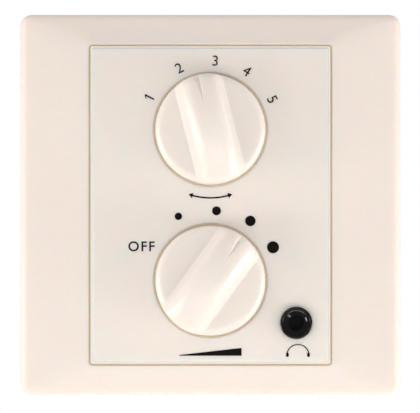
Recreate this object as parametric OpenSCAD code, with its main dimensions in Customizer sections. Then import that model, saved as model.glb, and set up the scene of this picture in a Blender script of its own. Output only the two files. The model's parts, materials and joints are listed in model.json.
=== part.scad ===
// Flush wall control for a line-fed loudspeaker: programme selector, stepped volume and headphone socket.
// Millimetres. The front faces -Y, +Z is up, and the wall surface is the plane Y = 0.
// Each piece is drawn lying on its back, with z towards the viewer and y up, then stood upright.

/* [Bezel] */
// Side of the square bezel
plate_side = 86; // [84:0.5:92]
// Height of the straight outer wall above the wall surface
bezel_edge_h = 5.6; // [5:0.1:6.2]
// Height of the bezel at the edge of its window
bezel_crown_h = 9.5; // [9.2:0.1:10.5]
// Radius of the rounded outer edge
bezel_edge_r = 2; // [1.2:0.1:2.2]
// Corner radius seen from the front
bezel_corner_r = 2.6; // [2.5:0.1:4]
// Thickness of the bezel's walls
bezel_wall = 1.8; // [1.4:0.1:2]
// Width of the window
window_w = 54.5; // [54:0.1:55]
// Height of the window
window_h = 72; // [71.5:0.1:73]
// Corner radius of the window
window_r = 0.7; // [0.6:0.1:1.5]
// Chamfer on the front edge of the window
window_chamfer = 0.4; // [0.2:0.05:0.6]

/* [Front panel] */
// Shadow gap between the panel and the window
panel_gap = 0.45; // [0.35:0.05:0.6]
// How far the panel stands proud of the window's edge
panel_proud = 0.3; // [0.1:0.05:0.6]
// Thickness of the panel
panel_t = 2.2; // [1.8:0.1:2.4]
// Rounding of the panel's front edges
panel_edge_r = 0.8; // [0.4:0.1:1]
// Distance between the two knob axes
knob_pitch = 34; // [33:0.5:35]
// Depth of the round recess under each knob
recess_depth = 0.6; // [0.5:0.1:0.8]
// Width of the ring gap around each knob
knob_gap = 0.35; // [0.3:0.05:0.5]
// Chamfer on the front edge of the recess
recess_flare = 0.2; // [0.1:0.05:0.3]
// Distance of the board posts from the middle, sideways
post_x = 19.8; // [19.4:0.1:20]
// Distance of the board posts from the middle, up and down
post_z = 12; // [11:0.5:13]

/* [Knobs] */
// Diameter of the knobs
knob_d = 25; // [24:0.25:26]
// Height of a knob
knob_h = 13.1; // [12.5:0.1:15]
// Height of the flat shoulders beside the grip bar
knob_shoulder_h = 4.1; // [4:0.1:4.6]
// Rounding of the shoulder's rim
knob_rim_r = 1.4; // [0.8:0.1:1.6]
// Width of the grip bar at the shoulder
bar_base_w = 10.8; // [10:0.1:11.4]
// Width of the grip bar at its top
bar_top_w = 8.6; // [8:0.1:9.4]
// Radius of the bar's crown along its length
bar_crown_r = 24; // [20:0.5:30]
// Rounding of the bar's long top edges
bar_edge_r = 3; // [2:0.1:3.4]
// Length of the pointer groove
pointer_l = 7; // [5:0.25:8]
// Depth of the pointer groove at the rim
pointer_depth = 1.1; // [0.8:0.1:1.4]
// Angle of the selector pointer, clockwise from the top
selector_angle = -14.4; // [-60:0.1:60]
// Angle of the volume pointer, clockwise from the top
volume_angle = 36; // [-60:0.1:60]

/* [Rotary switches] */
// Outer diameter of the switch body
switch_d = 26; // [25:0.25:26.5]
// Thickness of the metal cover
cover_t = 1.4; // [1.2:0.1:1.6]
// Depth of the moulded case
case_depth = 9.2; // [9:0.1:10]
// Outer diameter of the threaded bush
bush_d = 9; // [8.5:0.1:9.5]
// Shaft diameter
shaft_d = 6; // [5.5:0.1:6.2]
// Angle between two switch positions
step_angle = 30; // [24:1:32]
// Number of switch positions
positions = 5; // [3:1:5]
// Diameter of the detent balls
ball_d = 2.4; // [2:0.1:2.6]
// Radius of the ring of fixed contacts
contact_ring_r = 8; // [7.6:0.1:8.2]

/* [Mounting plate] */
// Height of the plate above the wall surface
carrier_h = 6; // [5.6:0.1:6.2]
// Thickness of the plate's walls
carrier_wall = 1.8; // [1.4:0.1:2]
// Spacing of the two wall screws
screw_pitch = 60.3; // [60:0.1:61]
// Width of the wall screw slots
screw_slot_w = 4.4; // [4.2:0.1:4.6]
// Length of the wall screw slots
screw_slot_l = 6.4; // [6:0.1:6.6]
// Diameter of the wells for the screw heads
well_d = 8.2; // [7.8:0.1:8.2]
// Width of the opening behind the panel
opening_w = 49; // [48.8:0.1:49.4]
// Height of the opening behind the panel
opening_h = 67.4; // [67:0.1:67.8]

/* [Headphone socket] */
// Distance of the socket from the middle, to the right
jack_x = 19.3; // [18.8:0.1:19.3]
// Distance of the socket from the middle, down
jack_z = -26.5; // [-27:0.1:-26]
// Diameter of the plug bore
jack_bore_d = 3.6; // [3.55:0.05:3.7]
// Diameter of the collar
jack_collar_d = 7.3; // [7:0.1:7.8]
// Diameter of the socket's bush
jack_bush_d = 6; // [5.8:0.1:6.2]
// How far the collar stands out of the panel
jack_proud = 1.2; // [0.8:0.1:1.6]

/* [Circuit board] */
// Width of the board
board_w = 46.2; // [45.8:0.1:46.4]
// Height of the board
board_h = 66; // [65.6:0.1:66.4]
// Thickness of the board
board_t = 1.6; // [1.2:0.1:2]

/* [Transformer] */
// Width of the middle leg of the core
leg_w = 10; // [9:0.25:10]
// Thickness of the lamination stack
stack_t = 12; // [10:0.5:14]

/* [Terminal block] */
// Number of ways
ways = 8; // [4:1:8]
// Distance between two ways
way_pitch = 5; // [4.8:0.1:5]
// Height of the block above the board
block_h = 10; // [9:0.5:12]
// Depth of the block along the board
block_d = 8.8; // [8.4:0.1:9]

/* [Hidden] */
$fn = 64;
// Small overlap that keeps cuts clean
eps = 0.1;
// How far a trimming body runs past what it trims
over = 1;
// Gap left between pieces that are seated near each other
seat_gap = 0.2;
// Radial play of a turning fit
run_clear = 0.05;
// Radial play of a push or screw fit
fit_clear = 0.03;
// Play of a pin in a board hole
hole_clear = 0.22;

half_side = plate_side / 2;
panel_w = window_w - 2 * panel_gap;
panel_h = window_h - 2 * panel_gap;
panel_front = bezel_crown_h + panel_proud;
panel_back = panel_front - panel_t;
recess_r = knob_d / 2 + knob_gap;
recess_z = panel_front - recess_depth;
recess_floor = panel_t - recess_depth;
panel_r = window_r - panel_gap;
skirt_w = 1.6;
skirt_inset = 0.2;
lip_t = 1.3;

switch_r = switch_d / 2;
bush_r = bush_d / 2;
shaft_r = shaft_d / 2;
cover_back = panel_back - cover_t;
case_back = cover_back - case_depth;
case_floor_t = 2.6;
case_floor = case_back + case_floor_t;
case_wall = 1.8;
tab_w = 4;
tab_t = 0.8;
tab_l = 6;
tab_gap = 0.15;
tab_step = 0.2;
tab_root = 1;
tab_turns = [30, 150, 270];
bush_clear = 0.1;
locator_r = 1;
locator_l = 1.1;
locator_clear = 0.1;
locator_y = recess_r - 2.6;
washer_t = 0.5;
washer_d = bush_d + 4;
washer_clear = 0.15;
nut_af = bush_d + 2;
nut_t = 1.6;
bush_over_nut = 0.5;
bush_end = recess_z + washer_t + nut_t + bush_over_nut;
nut_corner_r = nut_af / sqrt(3);
nut_chamfer = 0.5;

knob_float = 0.3;
knob_z = recess_z + knob_float;
knob_r = knob_d / 2;
knob_draft = 0.25;
knob_wall = 1.8;
knob_roof = 2.6;
hollow_r = knob_r - knob_wall;
hollow_h = bush_end + knob_float - knob_z;
shaft_end = knob_z + knob_h - knob_roof;
shaft_flat = shaft_r * 0.5;
socket_room = 0.3;

board_front = case_back;
board_back = board_front - board_t;
pin_reach = 1.8;
pin_out = board_back - pin_reach;
tail_reach = 1;

scallop_sink = 0.75;
scallop_play = 0.15;
lobe_r = switch_r - case_wall - 0.6;
journal_r = shaft_r * 0.6;
ball_r = ball_d / 2;
ball_at = lobe_r - run_clear - ball_r;
rotor_gap = 0.7;
rotor_room = 1.2;
pocket_wall = 0.6;
hub_wall = 1;
rotor_r = lobe_r - rotor_gap;
rotor_front = cover_back - rotor_room;
rotor_back = rotor_front - 2 * (ball_r + pocket_wall);
rotor_mid = (rotor_front + rotor_back) / 2;
pocket_from = shaft_r + 2 * pocket_wall;
sweep = (positions - 1) * step_angle;
scallops = floor(360 / step_angle);
lug_r = 7.4;
lug_w = 2;
lug_l = 2;
peg_r = 0.8;
stop_margin = 0.6;
stop_angle = sweep / 2 + asin(lug_w / 2 / lug_r) + asin(peg_r / lug_r) + stop_margin;

contact_t = 0.8;
contact_top = case_floor + contact_t;
contact_r = 1.1;
pin_r = 0.45;
common_r = 4;
common_half = 0.7;
wiper_t = 0.3;
wiper_w = 2.2;
wiper_clear = 0.05;

carrier_gap = 0.7;
carrier_half = half_side - bezel_wall - carrier_gap;
carrier_r = 1.5;
carrier_fall = 1;
carrier_rib_t = 1.4;
carrier_rib_x = 33;
slot_r = screw_slot_w / 2;
slot_reach = (screw_slot_l - screw_slot_w) / 2;
well_wall = 1.1;
well_floor = 2.4;
snap_l = 10;
snap_x = 20;
snap_grip = 0.6;
snap_reach = carrier_gap + snap_grip;
snap_z = 1.2;
snap_h = 1.2;
snap_play = 0.5;
clip_w = 6;
clip_t = 1.4;
clip_z = 18.4;
clip_barb = 0.8;
clip_slack = 0.1;
clip_flat = 0.8;
clip_nose = 2.6;
clip_x = opening_w / 2 - seat_gap - clip_t;

jack_w = 7.6;
jack_h = 9;
jack_front = panel_back;
jack_sink = 0.3;
jack_bush_end = panel_front + jack_proud - jack_sink;
jack_bush_r = jack_bush_d / 2;
jack_bore_r = jack_bore_d / 2;
jack_floor = 1.2;
jack_bore_end = board_front + jack_floor;
jack_round = 0.35;
dish_r = 5.4;
dish_mouth_r = jack_bush_r - 0.25;
dish_rise = sqrt(dish_r * dish_r - dish_mouth_r * dish_mouth_r);
leaf_t = 0.3;
leaf_w = 1.8;
leaf_side = 0.15;
leaf_skin = 0.35;
leaf_off = jack_bore_r + leaf_skin + leaf_side;
leaf_chamber = leaf_t + 3 * leaf_side;
leaf_nose_clear = 0.06;
leaf_bend = 1;
leaf_window = 1.2;
leaf_tail_w = 0.9;
leaf_tail_l = 1.5;
leaf_hole_r = 0.7;
// Directions in which the sleeve, ring and tip contacts lie around the plug bore
sleeve_turn = 270;
ring_turn = 90;
tip_turn = 180;
sleeve_nose_in = 7;
ring_nose_in = 4.4;
tip_nose_in = 1.6;
sleeve_nose = jack_bore_end + sleeve_nose_in;
ring_nose = jack_bore_end + ring_nose_in;
tip_nose = jack_bore_end + tip_nose_in;

screw_hole_r = 1.5;
pilot_r = 1.1;
post_r = 2.8;
post_draft = 0.3;
spigot_r = 1.6;
spigot_l = 1.1;
spigot_room = 0.1;
screw_thread_r = 1.07;
screw_l = 8;
screw_room = 1;
screw_head_r = 2.5;
screw_head_h = 1.7;
screw_head_draft = 0.6;
recess_l = 2.6;
recess_t = 0.6;
recess_h = 0.9;

core_z = -post_z;
core_w = 3 * leg_w;
core_h = 2.5 * leg_w;
core_mid = board_back - core_h / 2;
spool_l = 1.5 * leg_w - 0.2;
spool_wall = 0.8;
spool_clear = 0.1;
spool_flange = 1;
spool_w = 2 * leg_w - 0.4;
spool_d = stack_t + leg_w - 1;
coil_inset = 0.6;
bracket_t = 0.8;
bracket_gap = 0.05;
bracket_half = core_w / 2 + bracket_gap + bracket_t;
foot_end = post_x + post_r;
lead_r = 0.55;
lead_x = [-7.5, -4.5, -1.5, 1.5, 4.5, 7.5];
lead_z = core_mid + spool_l / 2 - spool_flange - 1.2;
lead_y = core_z + spool_d / 2 + 2.2;
tail_r = 0.35;
lead_bare = 0.6;

block_w = ways * way_pitch;
block_inset = 0.6;
block_top = board_h / 2 - block_inset;
block_back = board_back - block_h;
block_lip = 1.2;
block_floor = 4;
entry_w = 3.4;
entry_h = 3.2;
entry_l = 6.8;
entry_floor = board_back - 2;
clamp_w = 3;
clamp_h = 2.8;
clamp_t = 0.4;
clamp_l = 5.4;
clamp_pin_in = 0.6;
clamp_screw_in = 3;
clamp_to = block_top - block_lip;
clamp_from = clamp_to - clamp_l;
clamp_pin_y = clamp_to - clamp_pin_in;
clamp_screw_y = clamp_to - clamp_screw_in;
clamp_pin_room = 3;
clamp_screw_out = 1.4;
clamp_screw_l = 2.4;
clamp_head_h = 2;
clamp_slot_w = 0.6;
clamp_slot_h = 0.8;
screw_well_r = 1.9;
clamp_head_r = 1.7;
clamp_thread_r = 1;
resistor_r = 1.6;
resistor_l = 8;
resistor_waist = 0.25;
resistor_cap = 2.4;
resistor_span = 11;
resistor_x = -16.6;
resistor_rows = [-25.2, -29.8];
resistor_z = board_back - resistor_r - 0.3;

// Stands a piece drawn on its back upright, its front towards -Y.
module upright() {
    rotate([90, 0, 0]) children();
}

// Moves a piece to the upper or the lower switch axis.
module at_selector() {
    upright() translate([0, knob_pitch / 2, 0]) children();
}

module at_volume() {
    upright() translate([0, -knob_pitch / 2, 0]) children();
}

// Rectangle with round corners.
module round_rect(w, h, r) {
    square([w - 2 * r, h], center = true);
    square([w, h - 2 * r], center = true);
    for (x = [-1, 1], y = [-1, 1])
        translate([x * (w / 2 - r), y * (h / 2 - r)]) circle(r);
}

// Slot with round ends, along x.
module stadium(reach, r) {
    square([2 * reach, 2 * r], center = true);
    for (x = [-1, 1]) translate([x * reach, 0]) circle(r);
}

// Runs a profile in x and z straight along y, and one in y and z along x.
module along_y(l) {
    rotate([90, 0, 0]) linear_extrude(l, center = true) children();
}

module along_x(l) {
    rotate([90, 0, 90]) linear_extrude(l, center = true) children();
}

// Angle at which a face leaves the window and runs tangent into the rounded outer edge.
function slope_of(window_half) =
    let (run = half_side - bezel_edge_r - window_half, drop = bezel_crown_h - bezel_edge_h)
    acos(bezel_edge_r / norm([run, drop])) - atan2(run, drop);

// Outer section of the bezel: straight wall, rounded edge, sloping face.
module bezel_section(window_half) {
    slope = slope_of(window_half);
    edge = half_side - bezel_edge_r;
    for (side = [0, 1]) mirror([side, 0]) {
        polygon([
            [0, 0], [half_side, 0], [half_side, bezel_edge_h],
            [edge + bezel_edge_r * sin(slope), bezel_edge_h + bezel_edge_r * cos(slope)],
            [window_half, bezel_crown_h], [0, bezel_crown_h]
        ]);
        translate([edge, bezel_edge_h]) circle(bezel_edge_r);
    }
}

// Hollow behind the bezel, one wall thickness inside the outer section.
module bezel_hollow_section(window_half) {
    slope = slope_of(window_half);
    inner = half_side - bezel_wall;
    roof = bezel_crown_h - bezel_wall / cos(slope);
    polygon([
        [-inner, -eps], [inner, -eps], [inner, roof - (inner - window_half) * tan(slope)],
        [window_half, roof], [-window_half, roof], [-inner, roof - (inner - window_half) * tan(slope)]
    ]);
}

module bezel_solid() {
    intersection() {
        along_y(plate_side + 2 * over) bezel_section(window_w / 2);
        along_x(plate_side + 2 * over) bezel_section(window_h / 2);
        linear_extrude(bezel_crown_h + over) round_rect(plate_side, plate_side, bezel_corner_r);
    }
}

// Flared cut that chamfers the front edge of the window.
module window_flare_section(half) {
    polygon([
        [-half, bezel_crown_h - window_chamfer], [half, bezel_crown_h - window_chamfer],
        [half + 2 * window_chamfer, bezel_crown_h + window_chamfer],
        [-half - 2 * window_chamfer, bezel_crown_h + window_chamfer]
    ]);
}

module bezel_frame() {
    color("#f0e2d4") upright() difference() {
        union() {
            difference() {
                bezel_solid();
                intersection() {
                    along_y(plate_side - 2 * bezel_wall) bezel_hollow_section(window_w / 2);
                    along_x(plate_side - 2 * bezel_wall) bezel_hollow_section(window_h / 2);
                }
            }
            intersection() {
                bezel_solid();
                translate([0, 0, carrier_h]) linear_extrude(bezel_crown_h)
                    round_rect(window_w + 2 * lip_t, window_h + 2 * lip_t, window_r + lip_t);
            }
            for (x = [-1, 1], y = [-1, 1])
                translate([x * snap_x, y * (half_side - bezel_wall - snap_reach / 2 + eps), snap_z])
                    linear_extrude(snap_h) square([snap_l, snap_reach + 2 * eps], center = true);
        }
        translate([0, 0, -eps]) linear_extrude(bezel_crown_h + over)
            round_rect(window_w, window_h, window_r);
        intersection() {
            along_y(plate_side) window_flare_section(window_w / 2);
            along_x(plate_side) window_flare_section(window_h / 2);
        }
    }
}

// Section of the panel's plate with its rounded front edge.
module panel_section(w) {
    half = w / 2;
    polygon([
        [-half, panel_back], [half, panel_back], [half, panel_front - panel_edge_r],
        [half - panel_edge_r, panel_front], [-half + panel_edge_r, panel_front],
        [-half, panel_front - panel_edge_r]
    ]);
    for (x = [-1, 1]) translate([x * (half - panel_edge_r), panel_front - panel_edge_r])
        circle(panel_edge_r);
}

// Spring clip of the panel, latched behind the mounting plate's front wall.
module panel_clip() {
    latch = carrier_h - carrier_wall - clip_slack;
    arm = clip_x + clip_t;
    barb = arm + seat_gap + clip_barb;
    along_y(clip_w) polygon([
        [clip_x, panel_back + eps], [clip_x, latch - clip_nose], [arm, latch - clip_nose],
        [barb, latch - clip_flat], [barb, latch], [arm, latch], [arm, panel_back + eps]
    ]);
}

module front_panel() {
    skirt_outer = [panel_w - 2 * skirt_inset, panel_h - 2 * skirt_inset];
    color("#ede5dc") upright() difference() {
        union() {
            intersection() {
                along_y(panel_h + 2 * over) panel_section(panel_w);
                along_x(panel_w + 2 * over) panel_section(panel_h);
                translate([0, 0, panel_back - over]) linear_extrude(panel_t + 2 * over)
                    round_rect(panel_w, panel_h, panel_r);
            }
            translate([0, 0, carrier_h]) linear_extrude(panel_back + eps - carrier_h) difference() {
                round_rect(skirt_outer[0], skirt_outer[1], panel_r);
                round_rect(skirt_outer[0] - 2 * skirt_w, skirt_outer[1] - 2 * skirt_w, panel_r);
            }
            for (side = [0, 1], y = [-1, 1]) mirror([side, 0, 0])
                translate([0, y * clip_z, 0]) panel_clip();
        }
        for (side = [-1, 1]) translate([0, side * knob_pitch / 2, 0]) {
            translate([0, 0, recess_z]) cylinder(r = recess_r, h = recess_depth + eps);
            translate([0, 0, panel_front - recess_flare])
                cylinder(r1 = recess_r, r2 = recess_r + recess_flare + eps, h = recess_flare + eps);
            translate([0, 0, panel_back - eps])
                cylinder(r = bush_r + bush_clear, h = recess_floor + 2 * eps);
            translate([0, locator_y, panel_back - eps])
                cylinder(r = locator_r + locator_clear, h = locator_l + 2 * locator_clear + eps);
        }
        translate([jack_x, jack_z, panel_back - eps])
            cylinder(r = jack_bush_r + bush_clear, h = panel_t + 2 * eps);
        for (x = [-1, 1], y = [-1, 1]) translate([x * post_x, y * post_z, panel_back - eps])
            cylinder(r = spigot_r + fit_clear, h = spigot_l + spigot_room + eps);
    }
}

// Threaded posts staked into the back of the panel, which carry the board.
module board_posts() {
    color("#c9b27a") upright() for (x = [-1, 1], y = [-1, 1]) translate([x * post_x, y * post_z, 0])
        difference() {
            union() {
                translate([0, 0, board_front])
                    cylinder(r1 = post_r - post_draft, r2 = post_r, h = panel_back - board_front);
                translate([0, 0, panel_back - eps]) cylinder(r = spigot_r, h = spigot_l + eps);
            }
            translate([0, 0, board_front - eps]) cylinder(r = pilot_r, h = screw_l + eps);
        }
}

// Section of the mounting plate, its front edge cut back under the bezel's sloping faces.
module carrier_section(window_half) {
    slope = slope_of(window_half);
    roof = bezel_crown_h - bezel_wall / cos(slope);
    flat = min(carrier_half - seat_gap, window_half + (roof - carrier_h - seat_gap) / tan(slope));
    low = carrier_h - carrier_fall;
    polygon([
        [-carrier_half, 0], [carrier_half, 0], [carrier_half, low], [flat, carrier_h],
        [-flat, carrier_h], [-carrier_half, low]
    ]);
}

module mounting_plate() {
    inner = carrier_half - carrier_wall;
    roof = carrier_h - carrier_wall;
    well_r = well_d / 2;
    web_l = inner - screw_pitch / 2 - well_r;
    color("#d9d6cf") upright() difference() {
        union() {
            difference() {
                intersection() {
                    along_y(plate_side) carrier_section(window_w / 2);
                    along_x(plate_side) carrier_section(window_h / 2);
                    translate([0, 0, -eps]) linear_extrude(carrier_h + 2 * eps)
                        round_rect(2 * carrier_half, 2 * carrier_half, carrier_r);
                }
                translate([0, 0, -eps]) linear_extrude(carrier_h + 2 * eps)
                    round_rect(opening_w, opening_h, carrier_r);
                translate([0, 0, -eps]) linear_extrude(roof + eps)
                    round_rect(2 * inner, 2 * inner, carrier_r);
                for (x = [-1, 1], y = [-1, 1]) translate([x * snap_x, y * carrier_half, -eps])
                    linear_extrude(snap_z + snap_h + seat_gap + eps)
                        square([snap_l + 2 * snap_play, 2 * (snap_grip + seat_gap)], center = true);
            }
            for (x = [-1, 1]) translate([x * screw_pitch / 2, 0, 0]) {
                linear_extrude(carrier_h) stadium(slot_reach, well_r + well_wall);
                linear_extrude(roof + eps) translate([x * (well_r + web_l / 2), 0])
                    square([web_l + 2 * eps, carrier_rib_t], center = true);
            }
            for (x = [-1, 1], y = [-1, 1]) translate([x * carrier_rib_x, y * (well_r + inner) / 2, 0])
                linear_extrude(roof + eps) square([carrier_rib_t, inner - well_r + 2 * eps], center = true);
        }
        for (x = [-1, 1]) translate([x * screw_pitch / 2, 0, 0]) {
            translate([0, 0, well_floor]) linear_extrude(carrier_h) stadium(slot_reach, well_r);
            translate([0, 0, -eps]) linear_extrude(carrier_h) stadium(slot_reach, slot_r);
        }
    }
}

// Outline turned to make the knob's skirt, with a rounded rim at the shoulder.
module knob_skirt() {
    top_r = knob_r - knob_draft;
    rotate_extrude() {
        polygon([
            [0, 0], [knob_r, 0], [top_r, knob_shoulder_h - knob_rim_r],
            [top_r - knob_rim_r, knob_shoulder_h], [0, knob_shoulder_h]
        ]);
        intersection() {
            translate([top_r - knob_rim_r, knob_shoulder_h - knob_rim_r]) circle(knob_rim_r);
            square([knob_r, knob_h]);
        }
    }
}

// Turned envelope that rounds the two ends of the grip bar into its crown.
module knob_envelope() {
    end_r = 1.6;
    end_lift = 0.5;
    top_r = knob_r - knob_draft;
    crown_z = knob_h - bar_crown_r;
    rise = sqrt(pow(bar_crown_r - end_r, 2) - pow(top_r - end_r, 2));
    lean = atan2(top_r - end_r, rise);
    end_z = crown_z + rise + end_lift;
    meet = [top_r - end_r + end_r * sin(lean), end_z + end_r * cos(lean)];
    rotate_extrude() {
        polygon([[0, 0], [knob_r, 0], [top_r, end_z], meet, [meet[0], knob_h + over], [0, knob_h + over]]);
        translate([top_r - end_r, end_z]) circle(end_r);
    }
}

// Grip bar with a crowned top, drafted flanks and rounded long edges.
module grip_bar() {
    sink = 1;
    half_turn = 40;
    foot = bar_crown_r - knob_h + knob_shoulder_h - sink;
    top_half = bar_top_w / 2;
    base_half = bar_base_w / 2 + eps;
    edge = bar_crown_r - bar_edge_r;
    flat_half = top_half - bar_edge_r;
    intersection() {
        knob_envelope();
        translate([0, 0, knob_h - bar_crown_r]) rotate([0, 90, 0]) rotate([0, 0, 180 - half_turn])
            rotate_extrude(angle = 2 * half_turn) {
                polygon([
                    [foot, -base_half], [edge, -top_half], [bar_crown_r, -flat_half],
                    [bar_crown_r, flat_half], [edge, top_half], [foot, base_half]
                ]);
                for (side = [-1, 1]) translate([edge, side * flat_half]) circle(bar_edge_r);
            }
    }
}

// Pointer groove: a three-sided cut that runs out towards the middle of the bar.
module pointer_cut() {
    rim = knob_r - knob_draft;
    inner = rim - pointer_l;
    inner_z = knob_h - bar_crown_r + sqrt(bar_crown_r * bar_crown_r - inner * inner);
    rim_z = knob_h - bar_crown_r + sqrt(bar_crown_r * bar_crown_r - rim * rim) - pointer_depth;
    fall = atan2(inner_z - rim_z, pointer_l);
    flare = [3, 3.4];
    run_out = 6;
    translate([0, inner, inner_z]) rotate([-90 - fall, 0, 0]) linear_extrude(pointer_l + run_out)
        polygon([[0, 0], [flare[0], -flare[1]], [-flare[0], -flare[1]]]);
}

// Knob drawn with its pointer towards +y and its foot at z = 0.
module knob() {
    socket_r = shaft_r + fit_clear;
    socket_h = shaft_end + socket_room - knob_z - hollow_h;
    pocket_h = knob_h - hollow_h - 4.4;
    pocket = [bar_top_w - 4, 4];
    pocket_y = 7;
    difference() {
        union() {
            knob_skirt();
            grip_bar();
        }
        translate([0, 0, -eps]) cylinder(r = hollow_r, h = hollow_h + eps);
        difference() {
            translate([0, 0, hollow_h - eps]) cylinder(r = socket_r, h = socket_h + eps);
            translate([-shaft_d, shaft_flat + fit_clear, 0]) cube([2 * shaft_d, shaft_d, knob_h]);
        }
        for (side = [-1, 1]) translate([0, side * pocket_y, hollow_h - eps])
            linear_extrude(pocket_h + eps) square(pocket, center = true);
        pointer_cut();
    }
}

module selector_knob() {
    color("#ebe2d6") at_selector() translate([0, 0, knob_z]) rotate([0, 0, -selector_angle]) knob();
}

module volume_knob() {
    color("#ebe2d6") at_volume() translate([0, 0, knob_z]) rotate([0, 0, -volume_angle]) knob();
}

// Tab bent back from the cover's rim along the case.
module crimp_tab() {
    root = switch_r - tab_root;
    inner = switch_r + tab_gap;
    outer = inner + tab_t;
    along_y(tab_w) polygon([
        [root, cover_back + tab_step], [inner, cover_back + tab_step], [inner, cover_back - tab_l],
        [outer, cover_back - tab_l], [outer, panel_back - tab_step], [root, panel_back - tab_step]
    ]);
}

// Metal cover: plate, threaded bush, locating pin, stop pegs and three crimp tabs.
module switch_cover() {
    difference() {
        union() {
            translate([0, 0, cover_back]) cylinder(r = switch_r, h = cover_t);
            translate([0, 0, cover_back]) cylinder(r = bush_r, h = bush_end - cover_back);
            translate([0, locator_y, panel_back - eps]) cylinder(r = locator_r, h = locator_l + eps);
            for (side = [-1, 1]) rotate([0, 0, 180 + side * stop_angle])
                translate([0, lug_r, rotor_front + seat_gap])
                    cylinder(r = peg_r, h = cover_back + eps - rotor_front - seat_gap);
            for (turn = tab_turns) rotate([0, 0, turn]) crimp_tab();
        }
        translate([0, 0, cover_back - eps])
            cylinder(r = shaft_r + run_clear, h = bush_end - cover_back + 2 * eps);
    }
}

// Moulded case: scalloped detent wall, floor with contact seats and a rear bearing.
module switch_case() {
    difference() {
        translate([0, 0, case_back]) cylinder(r = switch_r, h = case_depth);
        translate([0, 0, case_floor]) cylinder(r = lobe_r, h = case_depth);
        for (i = [0 : scallops - 1]) rotate([0, 0, i * step_angle])
            translate([0, lobe_r - scallop_sink, case_floor])
                cylinder(r = ball_r + scallop_play, h = case_depth);
        translate([0, 0, case_back - eps]) cylinder(r = journal_r + run_clear, h = case_floor_t + 2 * eps);
        switch_pins(pin_r + fit_clear);
    }
}

// Angles of the fixed contacts, on the lower side of each switch.
function contact_angle(i) = 180 + (i - (positions - 1) / 2) * step_angle;

module switch_pins(r) {
    for (i = [0 : positions - 1]) rotate([0, 0, contact_angle(i)])
        translate([0, contact_ring_r, pin_out]) cylinder(r = r, h = case_floor + eps - pin_out);
    rotate([0, 0, 180]) translate([0, common_r, pin_out]) cylinder(r = r, h = case_floor + eps - pin_out);
}

// Fixed contacts: round studs on the outer ring, a common ring inside, all with board pins.
module switch_contacts() {
    switch_pins(pin_r);
    for (i = [0 : positions - 1]) rotate([0, 0, contact_angle(i)])
        translate([0, contact_ring_r, case_floor]) cylinder(r = contact_r, h = contact_t);
    translate([0, 0, case_floor]) difference() {
        cylinder(r = common_r + common_half, h = contact_t);
        translate([0, 0, -eps]) cylinder(r = common_r - common_half, h = contact_t + 2 * eps);
    }
}

// Shaft with its D end, the step at the bush and the rear journal.
module switch_shaft() {
    difference() {
        union() {
            translate([0, 0, rotor_back]) cylinder(r = shaft_r, h = shaft_end - rotor_back);
            translate([0, 0, case_back + seat_gap])
                cylinder(r = journal_r, h = rotor_back + eps - case_back - seat_gap);
        }
        translate([-shaft_d, shaft_flat, bush_end + seat_gap]) cube([2 * shaft_d, shaft_d, knob_h]);
    }
}

// Rotor with two radial pockets and a stop lug.
module switch_rotor() {
    rise = cover_back - seat_gap - rotor_front;
    difference() {
        union() {
            translate([0, 0, rotor_back]) cylinder(r = rotor_r, h = rotor_front - rotor_back);
            translate([-lug_w / 2, lug_r - lug_l / 2, rotor_front - eps]) cube([lug_w, lug_l, rise + eps]);
            translate([0, 0, rotor_front - eps]) cylinder(r = shaft_r + hub_wall, h = rise + eps);
        }
        translate([0, 0, rotor_back - eps]) cylinder(r = shaft_r + fit_clear, h = case_depth);
        for (turn = [0, 180]) rotate([0, 0, turn]) translate([pocket_from, 0, rotor_mid]) rotate([0, 90, 0])
            cylinder(r = ball_r + run_clear, h = rotor_r);
    }
}

// Wiper: a flat leaf under the rotor with two sprung arms.
module switch_wiper() {
    top = rotor_back;
    low = contact_top + wiper_clear;
    mid = (contact_ring_r + common_r) / 2;
    leaf = 1.6;
    root = 1;
    pad = 0.4;
    under = top - wiper_t;
    rotate([0, 0, 180]) along_x(wiper_w) polygon([
        [mid - leaf, top], [mid + leaf, top], [mid + leaf, under], [contact_ring_r + pad, low + wiper_t],
        [contact_ring_r + pad, low], [contact_ring_r - pad, low], [mid + root, under], [mid - root, under],
        [common_r + pad, low], [common_r - pad, low], [common_r - pad, low + wiper_t], [mid - leaf, under]
    ]);
}

module detent_balls() {
    for (turn = [0, 180]) rotate([0, 0, turn]) translate([ball_at, 0, rotor_mid]) sphere(ball_r);
}

// Coil spring along x, one wire wound in a helix, in the pocket behind each ball.
module detent_springs() {
    wire_r = 0.25;
    from = pocket_from + eps;
    to = ball_at - ball_r * 0.8;
    coil_r = ball_r - wire_r - eps;
    turns = 5;
    steps = 12;
    sides = 6;
    count = turns * steps;
    points = [for (i = [0 : count], j = [0 : sides - 1])
        let (a = i * 360 / steps, b = j * 360 / sides, rr = coil_r + wire_r * cos(b))
        [from + wire_r + (to - from - 2 * wire_r) * i / count + wire_r * sin(b), rr * cos(a), rr * sin(a)]];
    faces = concat(
        [[for (j = [0 : sides - 1]) j]],
        [for (i = [0 : count - 1], j = [0 : sides - 1])
            let (here = i * sides, next = here + sides, k = (j + 1) % sides)
            [here + j, next + j, next + k, here + k]],
        [[for (j = [sides - 1 : -1 : 0]) count * sides + j]]
    );
    for (turn = [0, 180]) rotate([0, 0, turn]) translate([0, 0, rotor_mid]) polyhedron(points, faces);
}

module switch_washer() {
    translate([0, 0, recess_z]) difference() {
        cylinder(r = washer_d / 2, h = washer_t);
        translate([0, 0, -eps]) cylinder(r = bush_r + washer_clear, h = washer_t + 2 * eps);
    }
}

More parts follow.
